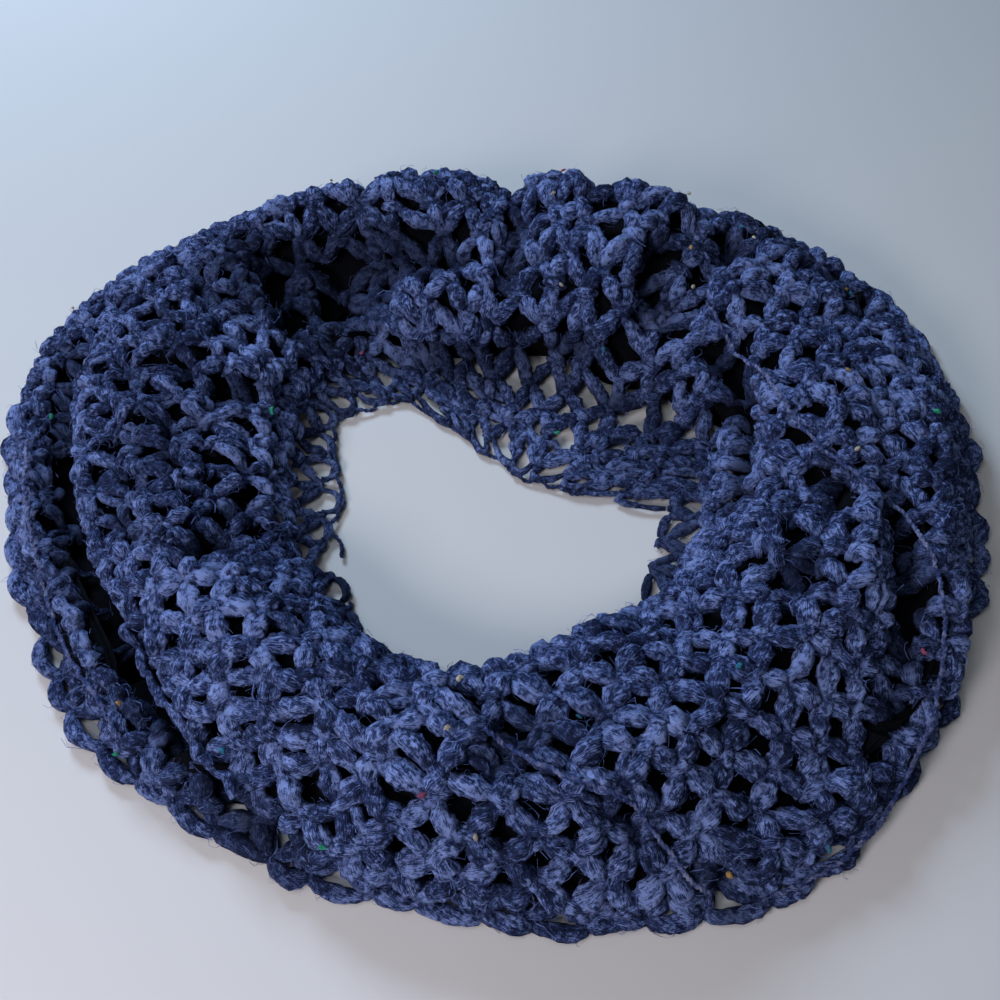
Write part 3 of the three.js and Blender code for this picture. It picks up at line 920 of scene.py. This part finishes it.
# The loops over a knot: length and radius, slant in degrees off the row, and height of their arch
KNOT_PAIR = [((11, 15), (0.68, 0.9), 28, (0.6, 3.0)), ((8, 12), (0.42, 0.62), 75, (0.6, 3.0))]
KNOT_TUCK = 2.0 * MM  # how far the loops' ends are tucked under
KNOT_BEND = 2.2  # and how far their middles bend to the side, in millimetres


def knot_strands(rng, row, sizes):
    """Two short fat loops over each knot: one more or less along the row, one across it."""
    kept = cloth.slit_at(row.azimuth, row.share) < SLIT
    azimuth, share = row.azimuth[kept], row.share[kept]
    count = len(azimuth)
    middle, normal = cloth.at(azimuth, share)
    ahead = unit(cloth.at(azimuth + 1, share)[0] - middle)
    side = np.cross(normal, ahead)
    thin = row.open[kept][:, None]
    slim = 1 - PLEAT_SLIM * near_angle(azimuth, *PLEATS)[:, None]
    out = []
    for long, plump, slant, high in KNOT_PAIR:
        length = rng.uniform(*long, (count, 1)) * MM * (1 - 0.4 * thin)
        turn = np.radians(rng.normal(0, slant, count))[:, None]
        way = ahead * np.cos(turn) + side * np.sin(turn)
        bend = np.cross(normal, way) * (rng.normal(0, KNOT_BEND, count) * MM)[:, None]
        arch = rng.uniform(*high, (count, 1)) * (1 - thin) + 0.3 * thin
        lift = arch * MM * LOOP_ARCH - KNOT_TUCK * (1 - LOOP_ARCH) - NET_DEPTH * (1 + 0.4 * thin)
        points = (
            middle[:, None]
            + way[:, None] * (length * LOOP)[..., None]
            + bend[:, None] * LOOP_ARCH[:, None]
            + normal[:, None] * lift[..., None]
        )
        fat = sizes.slub * (1 - thin) + 1.25 * sizes.open_strand * thin
        radius = fat * rng.uniform(*plump, (count, 1)) * (0.35 + 0.65 * LOOP_ARCH**0.8) * slim
        out.append({"points": points, "radius": radius, "shade": rng.random(count)})
    return out


ARC = np.linspace(0, 1, 9)
ARC_RISE = np.sin(ARC * math.pi) ** 0.55
LOOP_BULGE = 1.2  # how much wider a narrow loop is at its belly
LOOP_PAIR = 1.9 * MM  # from a loop's one strand to the other
LOOP_SKEW = 0.1  # how far a loop leans over, as a share of its width
LOOP_LIFT = 0.8 * MM  # how much its height varies


def edge_loops(rng, knots, outward, reach, radius, width=1.0):
    """Rounded loops from each knot of an edge row to the next, or over a share of that way, of two
    strands side by side."""
    ahead = np.roll(knots, -1, axis=0)
    away = (outward + np.roll(outward, -1, axis=0)) / 2
    count = len(knots)
    height = rng.uniform(*reach, (count, 1)) * MM
    skew = rng.normal(0, LOOP_SKEW, (count, 1)) * ARC_RISE
    out = []
    for inset in (0.0, LOOP_PAIR):
        wide = width * (1 + LOOP_BULGE * (1 - width) * ARC_RISE)
        share = (0.5 + (ARC - 0.5) * wide + skew)[..., None]
        line = knots[:, None] * (1 - share) + ahead[:, None] * share
        line = line + away[:, None] * ((height - inset) * ARC_RISE)[..., None]
        line[..., 2] += rng.normal(0, LOOP_LIFT, (count, 1)) + inset * 0.5
        thick = radius * rng.uniform(0.7, 1.1, (count, 1)) * (0.8 + 0.35 * ARC_RISE)
        out.append({"points": line, "radius": thick, "shade": rng.random(count)})
    return out, (knots + ahead) / 2 + away * height


def picked(strands, chosen):
    """Those strands of each set that are chosen."""
    return [{key: value[chosen] for key, value in s.items()} for s in strands]


def by_sector(strands):
    """The strands of each stretch of the ring, by where their middles lie."""
    sectors = [[] for _ in COMPASS]
    for s in strands:
        middle = s["points"][:, s["points"].shape[1] // 2]
        sector = ((azimuth_of(middle) + SECTOR / 2) % 360 // SECTOR).astype(int)
        for i in range(len(COMPASS)):
            chosen = sector == i
            if chosen.any():
                sectors[i] += picked([s], chosen)
    return sectors


def made_of_yarn(name, strands, material, on_top=False, **values):
    """A piece of yarn strands, swept along its lines."""
    tree = bpy.data.node_groups.get("Yarn strands") or yarn_tree()
    settings = {key.replace("_", " ").capitalize(): value for key, value in values.items()}
    return run_tree(polylines(name, strands, on_top), tree, settings | {"Material": material})


pieces = []


def finish_piece(piece, slot, *nodes):
    """Ties a finished piece to the part's body and hides the nodes that it stands for; its slot is not
    used.
    """
    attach(piece, BODY)
    if nodes:
        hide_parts(*nodes)
    pieces.append(piece)


def roving():
    """The navy roving that the net is knitted of."""
    colours = bpy.context.scene.scarf_colours
    found = bpy.data.materials.get("slub_roving_navy")
    return found or slub_yarn("slub_roving_navy", colours.shade, colours.navy, colours.light)


class SCARF_OT_net(bpy.types.Operator):
    """Knits the net that shows, from the hem over the roll to the outer layer"""

    bl_idname = "scarf.net"
    bl_label = "Net of the roll"

    def execute(self, context):
        sizes = context.scene.scarf_sizes
        rng = np.random.default_rng(SEED)
        rows = net_rows(rng, sizes)
        strands = []
        for near, far in zip(rows, rows[1:]):
            strands += net_legs(rng, near, far, sizes)
        for row in rows:
            strands += knot_strands(rng, row, sizes)
        for name, some in zip(COMPASS, by_sector(strands)):
            piece = made_of_yarn(f"net_{name}", some, roving())
            finish_piece(piece, "knit", f"upper_{name}")
        return {"FINISHED"}


RIM_INSETS = [29, 17, 6]  # millimetres in from the rim, of the rows of the single layer
RIM_REACH = (1, 8)  # millimetres that the loops of the rim stand out from its last row
RIM_OPEN = (47, 13)  # angle and spread of the stretch where the single layer is thin and open
RIM_THINNEST = 0.8
RIM_HEIGHT = 3 * MM
RIM_JITTER = (0.12, 1.3 * MM)  # of its knots along a row, as a share of the pitch, and across it
RIM_STRAND = 1.75  # its loops' thickness, as a share of the open hem's
# its legs' two strands, told as LEG_PAIR tells them
RIM_PAIR = [((0.85, 1.08), (0.3, 1.4), (0.6, 2.6)), ((0.55, 0.76), (2.4, 3.4), (-1.0, 1.4))]


class SCARF_OT_rim(bpy.types.Operator):
    """Knits the single layer that lies on the floor beyond the roll, with its looped edge"""

    bl_idname = "scarf.rim"
    bl_label = "Net of the rim"

    def execute(self, context):
        sizes = context.scene.scarf_sizes
        rng = np.random.default_rng(SEED + 1)
        count = round(TAU * float(cloth.rim.mean()) / sizes.stitch_pitch)
        rows = [rim_row(rng, inset * MM, count, 0.5 * (j % 2)) for j, inset in enumerate(RIM_INSETS)]
        strands = []
        for near, far in zip(rows, rows[1:]):
            a, b = legs_between(near[0], far[0])
            azimuth = along_legs(near[0][a], short_turn(near[0][a], far[0][b]))
            radius = along_legs(near[1][a], far[1][b] - near[1][a])
            points = polar(azimuth, radius, KNIT)
            normals = np.broadcast_to(np.array([0.0, 0.0, 1.0]), points.shape)
            from_open = (azimuth[:, 4] - RIM_OPEN[0]) / RIM_OPEN[1]
            thin = RIM_THINNEST * np.exp(-(from_open**2))
            strands += leg_strands(rng, points, normals, thin, sizes, RIM_PAIR)
        knots = polar(*rows[-1], RIM_HEIGHT)
        away = polar(rows[-1][0], 1.0) - RING_CENTRE
        loops, _ = edge_loops(rng, knots, away, RIM_REACH, RIM_STRAND * sizes.open_strand)
        for name, some in zip(COMPASS, by_sector(strands + loops)):
            piece = made_of_yarn(f"rim_{name}", some, roving())
            finish_piece(piece, "knit_underlap", f"lower_{name}")
        return {"FINISHED"}


def rim_row(rng, inset, count, phase):
    """Angles and radii of the knots of a row at a distance in from the rim."""
    angles = np.arange(0, 361, 1.0)
    along = distances(polar(angles, cloth.size_at(cloth.rim, angles)))
    place = (np.arange(count) + phase + rng.normal(0, RIM_JITTER[0], count)) / count % 1.0
    azimuth = np.sort(np.interp(place * along[-1], along, angles))
    return azimuth, cloth.size_at(cloth.rim, azimuth) - inset + rng.normal(0, RIM_JITTER[1], count)


# The looped hem, and the thin strands

# The loops along the hem: angles from and to, and how far they reach into the hole in millimetres
HEM_LOOPS = [
    (352, 120, (11, 19)),
    (120, 212, (3, 13)),
    (212, 296, (1, 4)),
    (296, 312, (7, 14)),
    (312, 352, (1, 4.5)),
]
HEM_LOOP_CHANCE = 0.85
HEM_HEIGHT = 2.6 * MM
HEM_LOOP_WIDTH = 0.66  # share of the way from knot to knot
HEM_LOOP_STRAND = 0.95  # their thickness, as a share of the open net's
HEM_RINGS = [22, 42]  # millimetres in from the hem, of the rows of small loops in its flat net
HEM_RING_SPAN = (14, 112)  # angles between which those rows run
HEM_RING_REACH = (6, 11)  # and how far their loops reach towards the hole, in millimetres
HEM_RING_STRAND = 0.9
HEM_RING_JITTER = 1.5  # degrees
HEM_STRAND = (6, 204)  # angles between which the two-ply strand is drawn through the hem's loops
HEM_STRAND_INSET = 1.2 * MM  # from the loops' tips back to the strand
HEM_STRAND_LOW = 1.2 * MM  # the strand's height between two loops
HEM_STRAND_HIGH = (1.5, 5.5)  # and in them, in millimetres
HEM_STRAND_SWING = (-1, 4)  # how far it swings towards the hole between them


def in_span(azimuth, start, stop):
    """Which angles lie between two others, going round."""
    return (azimuth - start) % 360 < (stop - start) % 360


class SCARF_OT_hem(bpy.types.Operator):
    """Adds the loops along the hem, and the two-ply strand drawn through them"""

    bl_idname = "scarf.hem"
    bl_label = "Looped hem and its strand"

    def execute(self, context):
        sizes, colours = context.scene.scarf_sizes, context.scene.scarf_colours
        rng = np.random.default_rng(SEED)
        row = net_rows(rng, sizes)[0]
        rng = np.random.default_rng(SEED + 2)
        knots = cloth.at(row.azimuth, row.share)[0]
        inwards = knots - cloth.at(row.azimuth, row.share + 0.05)[0]
        inwards[:, 2] = 0
        inwards = unit(inwards)
        knots[:, 2] = HEM_HEIGHT
        strands, tips = [], np.zeros_like(knots)
        radius = HEM_LOOP_STRAND * sizes.open_strand
        for start, stop, reach in HEM_LOOPS:
            loops, ends = edge_loops(rng, knots, inwards, reach, radius, HEM_LOOP_WIDTH)
            span = in_span(row.azimuth, start, stop)
            strands += picked(loops, span & (rng.random(len(knots)) < HEM_LOOP_CHANCE))
            tips[span] = ends[span]
        flat = in_span(row.azimuth, *HEM_RING_SPAN)
        for inset in HEM_RINGS:
            share = row.share + inset * MM / cloth.size_at(cloth.length, row.azimuth)
            azimuth = row.azimuth + rng.normal(0, HEM_RING_JITTER, len(share))
            places = cloth.at(azimuth, share)[0]
            places[:, 2] -= NET_DEPTH
            radius = HEM_RING_STRAND * sizes.open_strand
            loops, _ = edge_loops(rng, places, inwards, HEM_RING_REACH, radius)
            strands += picked(loops, flat)
        piece = made_of_yarn("hem_loops", strands, roving())
        finish_piece(piece, "knit")
        start, stop = HEM_STRAND
        order = np.argsort((row.azimuth - start) % 360)
        chosen = [i for i in order if in_span(row.azimuth[i], start, stop)]
        line = tips[chosen] - inwards[chosen] * HEM_STRAND_INSET
        swing = rng.uniform(*HEM_STRAND_SWING, (len(line) - 1, 1)) * MM
        between = (line[1:] + line[:-1]) / 2 + inwards[chosen][1:] * swing
        path = np.empty((2 * len(line) - 1, 3))
        path[0::2], path[1::2] = line, between
        path[0::2, 2] = rng.uniform(*HEM_STRAND_HIGH, len(line)) * MM
        path[1::2, 2] = HEM_STRAND_LOW
        # painted shade: a darker copy of the loose strands' two-ply yarn, for the hem, which lies in the
        # roll's shade
        dark = slub_yarn("two_ply_strand", colours.shade, linear("#26355f"), linear("#7288c8"))
        piece = thin_strand("hem_strand", path, sizes.edge_strand, dark)
        finish_piece(piece, "knit")
        return {"FINISHED"}


STRAND_RINGS = 0.9 * MM  # from ring to ring along a thin strand
TWO_PLY = {"plies": 2.0, "ply_depth": 0.28, "turns_per_metre": 170.0, "lump": 0.0}


def thin_strand(name, path, radius, material, **look):
    """A strand along a path of points, a two-ply one if nothing else is said."""
    length = np.linalg.norm(np.diff(path, axis=0), axis=1).sum()
    thick = np.broadcast_to(radius, (1, len(path)))
    line = {"points": path[None], "radius": thick, "shade": np.array([0.3])}
    rings = round(length / STRAND_RINGS)
    return made_of_yarn(name, [line], material, on_top=True, rings=rings, sides=8, **(look or TWO_PLY))


# Thin strands that lie loose on the roll, in the photograph's pixels
LOOSE_STRANDS = {
    "selvedge_right": [
        (707, 300), (736, 354), (765, 373), (787, 405), (806, 431), (825, 450), (867, 482), (905, 515),
        (931, 550), (941, 585), (946, 620), (944, 655), (932, 725), (905, 781), (880, 824), (846, 860),
        (801, 884), (776, 896),
    ],
    "selvedge_front": [
        (485, 729), (513, 750), (534, 760), (569, 778), (604, 789), (632, 803), (653, 831), (675, 859),
        (689, 880), (710, 894),
    ],
    "selvedge_left": [
        (26, 440), (24, 490), (32, 540), (44, 584), (57, 631), (76, 668), (98, 700), (120, 738),
    ],
}
# and the strand of roving that is drawn along the inside of the left furrow
RIDGE = [
    (80, 372), (74, 412), (75, 442), (78, 474), (83, 515), (95, 556), (113, 591), (130, 631),
    (151, 680), (173, 715), (203, 758), (238, 795),
]
RIDGE_RADIUS = (0.9, 1.7)  # as shares of the roving's turn radius
RIDGE_STEP = 11  # pixels
RIDGE_LIFT = 2.5 * MM
RIDGE_JITTER = 1.4 * MM
STRAND_STEP = 6
STRAND_BRIDGE = 2  # steps
STRAND_LIFT = 1.4 * MM
STRAND_JITTER = 0.35 * MM


def laid_over(trees, pixels, step, bridge, lift):
    """Points along a path of pixels, a little above the nearest of some surfaces, that go straight over
    hollows shorter than twice so many steps."""
    way = np.array(pixels, float)
    along = distances(way)
    dots = points_along(way, along, np.linspace(0, along[-1], round(along[-1] / step)))
    eye = camera_axes()[0]
    sights = []
    for dot in dots:
        sights.append(min((seen_at(tree, dot)[0] - eye for tree in trees), key=np.linalg.norm))
    sights = np.array(sights)
    far = np.linalg.norm(sights, axis=1, keepdims=True)
    padded = np.pad(far, [(bridge, bridge), (0, 0)], mode="edge")
    near = np.min([padded[i : i + len(far)] for i in range(2 * bridge + 1)], axis=0)
    return eye + sights * (blur(near, 1.0, 0, False) - lift) / far


class SCARF_OT_strands(bpy.types.Operator):
    """Lays the selvedge's thin strands that lie loose over the roll"""

    bl_idname = "scarf.strands"
    bl_label = "Loose edge strands"

    def execute(self, context):
        sizes = context.scene.scarf_sizes
        rng = np.random.default_rng(SEED + 3)
        # painted light: a lighter copy of the hem strand's two-ply yarn, for the strands that lie over the
        # roll
        tones = [linear(code) for code in ("#2f4380", "#6a79b4", "#c2caf2")]
        material = slub_yarn("two_ply_strand_painted_light", *tones)
        depsgraph = context.evaluated_depsgraph_get()
        yarn = [piece for piece in pieces if piece.name.startswith(("net_", "rim_"))]
        net = [BVHTree.FromObject(piece, depsgraph) for piece in yarn]
        for name, pixels in LOOSE_STRANDS.items():
            path = laid_over(net, pixels, STRAND_STEP, STRAND_BRIDGE, STRAND_LIFT)
            path += rng.normal(0, STRAND_JITTER, path.shape)
            finish_piece(thin_strand(name, path, sizes.edge_strand, material), "knit")
        path = laid_over([cloth.tree, cloth.plain], RIDGE, RIDGE_STEP, 0, RIDGE_LIFT)
        path += rng.normal(0, RIDGE_JITTER, path.shape)
        radius = sizes.turn * rng.uniform(*RIDGE_RADIUS, len(path))
        ridge = thin_strand("ridge_left", path, radius, roving(), turns_per_metre=30.0, lump=LUMP)
        finish_piece(ridge, "knit")
        return {"FINISHED"}


# Flecks of coloured fibre caught in the yarn: colour, length in millimetres, and pixels
FLECKS = [
    ("green", "#2fae78", 4.2, [(267, 415), (47, 422), (557, 438), (932, 418), (124, 750), (328, 841)]),
    ("turquoise", "#3b8fae", 3.2, [(606, 344), (738, 673), (575, 722), (821, 845), (230, 747)]),
    ("rose", "#b0566b", 3.0, [(168, 695), (425, 792), (921, 655), (360, 352)]),
    ("cream", "#d8cfae", 3.0, [
        (556, 199), (563, 286), (697, 293), (853, 452), (446, 734), (461, 688), (477, 832),
    ]),
    ("yellow", "#c9a24a", 2.6, [(844, 376), (687, 251), (122, 707), (732, 869)]),
]
HIDDEN_FLECKS = 5  # of each colour, on the far side
FAR_ANGLES = (20, 160)
FAR_SHARES = (0.7, 0.95)
FLECK_LINE = np.array([-0.5, -0.2, 0.15, 0.5])
FLECK_RADIUS = np.array([0.4, 0.9, 1.0, 0.4]) * MM
FLECK_LIFT = 4.8 * MM  # off the cloth's face, on the puffs
FLECK_TONES = (0.7, 1.3, 2.0)  # of its dark, middle and light fibres, as shares of its colour


class SCARF_OT_flecks(bpy.types.Operator):
    """Sets the small flecks of coloured fibre that are spun into the yarn"""

    bl_idname = "scarf.flecks"
    bl_label = "Coloured flecks"

    def execute(self, context):
        rng = np.random.default_rng(SEED + 4)
        for name, colour, long, pixels in FLECKS:
            found = [seen_at(cloth.tree, p) for p in pixels]
            azimuth = rng.uniform(*FAR_ANGLES, HIDDEN_FLECKS)
            share = rng.uniform(*FAR_SHARES, HIDDEN_FLECKS)
            found += list(zip(*cloth.at(azimuth, share)))
            lines = []
            for point, normal in found:
                way = np.cross(normal, rng.normal(0, 1, 3))
                way /= np.linalg.norm(way)
                bend = np.cross(normal, way) * rng.uniform(-1, 1) * MM
                size = long * rng.uniform(0.8, 1.2) * MM
                line = point + way * (FLECK_LINE * size)[:, None]
                line = line + bend * (1 - 4 * FLECK_LINE**2)[:, None]
                lines.append(line + normal * FLECK_LIFT)
            count = len(lines)
            radius = FLECK_RADIUS * rng.uniform(0.8, 1.2, (count, 1))
            strand = {"points": np.array(lines), "radius": radius, "shade": rng.random(count)}
            tones = [tuple(np.array(linear(colour)) * share) for share in FLECK_TONES]
            material = slub_yarn(f"nep_{name}", *tones)
            piece = made_of_yarn(f"flecks_{name}", [strand], material, on_top=True, rings=7)
            finish_piece(piece, "knit")
        return {"FINISHED"}


class SCARF_OT_fibres(bpy.types.Operator):
    """Raises the loose fibres that stand off the yarn"""

    bl_idname = "scarf.fibres"
    bl_label = "Loose fibres"

    def execute(self, context):
        sizes = context.scene.scarf_sizes
        # single dyed wool-like fibres, 0.03 mm thick in life and drawn 0.13 mm thick so that they show
        material = surface("loose_fibre_navy", {
            "Base Color": rgba(linear("#6478b4")), "Roughness": 0.8, "Specular IOR Level": 0.2,
        })[0]
        tree = fibre_tree()
        for i, name in enumerate(COMPASS):
            for kind, share, slot in (("net", 0.8, "knit"), ("rim", 0.2, "knit_underlap")):
                source = bpy.data.objects[f"{kind}_{name}"]
                area = sum(p.area for p in source.data.polygons)
                piece = placed(f"fibres_{kind}_{name}", source.data.copy())
                density = share * sizes.fibres / area
                run_tree(piece, tree, {"Density": density, "Seed": i, "Material": material})
                finish_piece(piece, slot)
        return {"FINISHED"}


SHELL_DEPTH = 9 * MM  # from the cloth's face in to the face of the folded layers
SHELL_WALL = 2.5 * MM
SHELL_FLOOR = 0.6 * MM  # its underside lies this high
SHELL_COLUMNS = 180
SHELL_STEPS = 40
SHELL_BASE_STEPS = 9
SHELL_START = 14 * MM  # from where the hem lies flat to where the folded layers begin
SHELL_STOP = 0.95


class SCARF_OT_inner(bpy.types.Operator):
    """Lays the folded layers inside the roll, coloured near black as painted shade so that they show dark
    through the net
    """

    bl_idname = "scarf.inner"
    bl_label = "Folded layers inside"

    def execute(self, context):
        colours = context.scene.scarf_colours
        shell = inner_shell()
        # painted shade: the inner layers' tones, all near black
        tones = [tuple(np.array(colours.inner[:3]) * share) for share in (0.5, 1.0, 2.0)]
        shell.data.materials.append(slub_yarn("slub_roving_in_shade", *tones, sheen=0.0))
        finish_piece(shell, "knit_inner", "hidden_layers")
        return {"FINISHED"}


def inner_shell():
    """A closed tube of cloth under the net: over the roll and back along the floor."""
    azimuth = np.arange(SHELL_COLUMNS) * 360 / SHELL_COLUMNS
    first = cloth.size_at(cloth.flat, azimuth) + SHELL_START / cloth.size_at(cloth.length, azimuth)
    shares = first[:, None] + (SHELL_STOP - first[:, None]) * np.linspace(0, 1, SHELL_STEPS)
    points, normals = cloth.at(azimuth[:, None], shares)
    verts = []
    for wall in (0.0, SHELL_WALL):
        floor = SHELL_FLOOR + wall
        top = points - normals * (SHELL_DEPTH + wall)
        top[..., 2] = np.maximum(top[..., 2], floor)
        back = np.linspace(0, 1, SHELL_BASE_STEPS)[:, None]
        bottom = top[:, -1:] * (1 - back) + top[:, :1] * back
        bottom[..., 2] = floor
        verts.append(np.concatenate([top, bottom], axis=1))
    count, size = verts[0].shape[:2]
    cell = np.arange(count * size).reshape(count, size)
    beside = np.roll(cell, -1, axis=0)
    quads = np.stack([cell, beside, np.roll(beside, -1, axis=1), np.roll(cell, -1, axis=1)], -1)
    quads = quads.reshape(-1, 4)
    faces = np.concatenate([quads, quads[:, ::-1] + count * size])
    mesh = bpy.data.meshes.new("folded_layers")
    mesh.from_pydata(np.concatenate(verts).reshape(-1, 3).tolist(), [], faces.tolist())
    mesh.shade_smooth()
    keep_at_points(mesh, "painted_light", np.ones(len(mesh.vertices)))
    return placed("folded_layers", mesh)


# Name, place, size, power and colour of each light: a window behind on the left, a lamp overhead, and
# a soft one in front
LIGHTS = [
    ("window", (-0.7, 1.05, 1.0), 0.5, 21.5, "#c4dfff"),
    ("overhead", (-0.35, -0.5, 1.3), 0.6, 5, "#e6eefc"),
    ("front", (-0.5, -0.75, 0.6), 0.3, 6.2, "#f8f0fa"),
]
FLOOR_HALF = 6.0
SKY_STRENGTH = 0.1


def aimed(name, data, spot, way):
    """A light or a camera at a spot, turned to look along a direction."""
    thing = placed(name, data)
    thing.location = spot
    thing.rotation_mode = "QUATERNION"
    thing.rotation_quaternion = way.to_track_quat("-Z", "Y")
    return thing


class SCARF_OT_stage(bpy.types.Operator):
    """Makes the pale floor, the soft lights and the camera"""

    bl_idname = "scarf.stage"
    bl_label = "Floor, lights and camera"

    def execute(self, context):
        colours = context.scene.scarf_colours
        # smooth pale paint, rolled on, with a faint grain
        material, tree, shader = surface("painted_floor", {
            "Base Color": rgba(colours.floor), "Roughness": 0.9, "Specular IOR Level": 0.1,
        })
        mottle = noise(tree, add(tree, "ShaderNodeTexCoord").outputs["Object"], 30.0, 4.0)
        bump = add(tree, "ShaderNodeBump", {"Strength": 0.15, "Distance": 0.3 * MM}, Height=mottle)
        tree.links.new(bump.outputs[0], shader.inputs["Normal"])
        mesh = bpy.data.meshes.new("floor")
        signs = [(-1, -1), (1, -1), (1, 1), (-1, 1)]
        corners = [(x * FLOOR_HALF, y * FLOOR_HALF, 0) for x, y in signs]
        mesh.from_pydata(corners, [], [(0, 1, 2, 3)])
        mesh.materials.append(material)
        floor = placed("floor", mesh)
        for name, spot, size, power, colour in LIGHTS:
            data = bpy.data.lights.new(name, "AREA")
            data.shape, data.size, data.energy, data.color = "DISK", size, power, linear(colour)
            aimed(name, data, spot, -Vector(spot))
        world = bpy.data.worlds.new("studio")
        world.use_nodes = True
        background = world.node_tree.nodes["Background"]
        background.inputs["Color"].default_value = rgba(linear("#dfe6f0"))
        background.inputs["Strength"].default_value = SKY_STRENGTH
        context.scene.world = world
        eye, forward, _, _ = camera_axes()
        data = bpy.data.cameras.new("camera")
        data.sensor_width = SENSOR
        data.lens = SENSOR * FOCAL_PIXELS / IMAGE
        context.scene.camera = aimed("camera", data, eye, Vector(forward))
        context.scene.view_settings.view_transform = "Standard"
        return {"FINISHED"}


class SCARF_PT_panel(bpy.types.Panel):
    """Lists the steps that make the scarf"""

    bl_idname = "SCARF_PT_panel"
    bl_label = "Scarf"
    bl_space_type = "VIEW_3D"
    bl_region_type = "UI"
    bl_category = "Scarf"

    def draw(self, context):
        for group in (context.scene.scarf_sizes, context.scene.scarf_colours):
            for name in group.__annotations__:
                self.layout.prop(group, name)
        for step in STEPS:
            self.layout.operator(step.bl_idname)


STEPS = [
    SCARF_OT_stage, SCARF_OT_net, SCARF_OT_rim, SCARF_OT_hem, SCARF_OT_strands, SCARF_OT_flecks,
    SCARF_OT_fibres, SCARF_OT_inner,
]
CLASSES = [ScarfSizes, ScarfColours, *STEPS, SCARF_PT_panel]


def register():
    for kind in CLASSES:
        bpy.utils.register_class(kind)
    bpy.types.Scene.scarf_sizes = PointerProperty(type=ScarfSizes)
    bpy.types.Scene.scarf_colours = PointerProperty(type=ScarfColours)


def unregister():
    del bpy.types.Scene.scarf_colours
    del bpy.types.Scene.scarf_sizes
    for kind in reversed(CLASSES):
        bpy.utils.unregister_class(kind)


def main():
    register()
    bpy.ops.scarf.stage()
    bpy.ops.scarf.net()
    bpy.ops.scarf.rim()
    bpy.ops.scarf.hem()
    bpy.ops.scarf.strands()
    bpy.ops.scarf.flecks()
    bpy.ops.scarf.fibres()
    bpy.ops.scarf.inner()


if __name__ == "__main__":
    main()
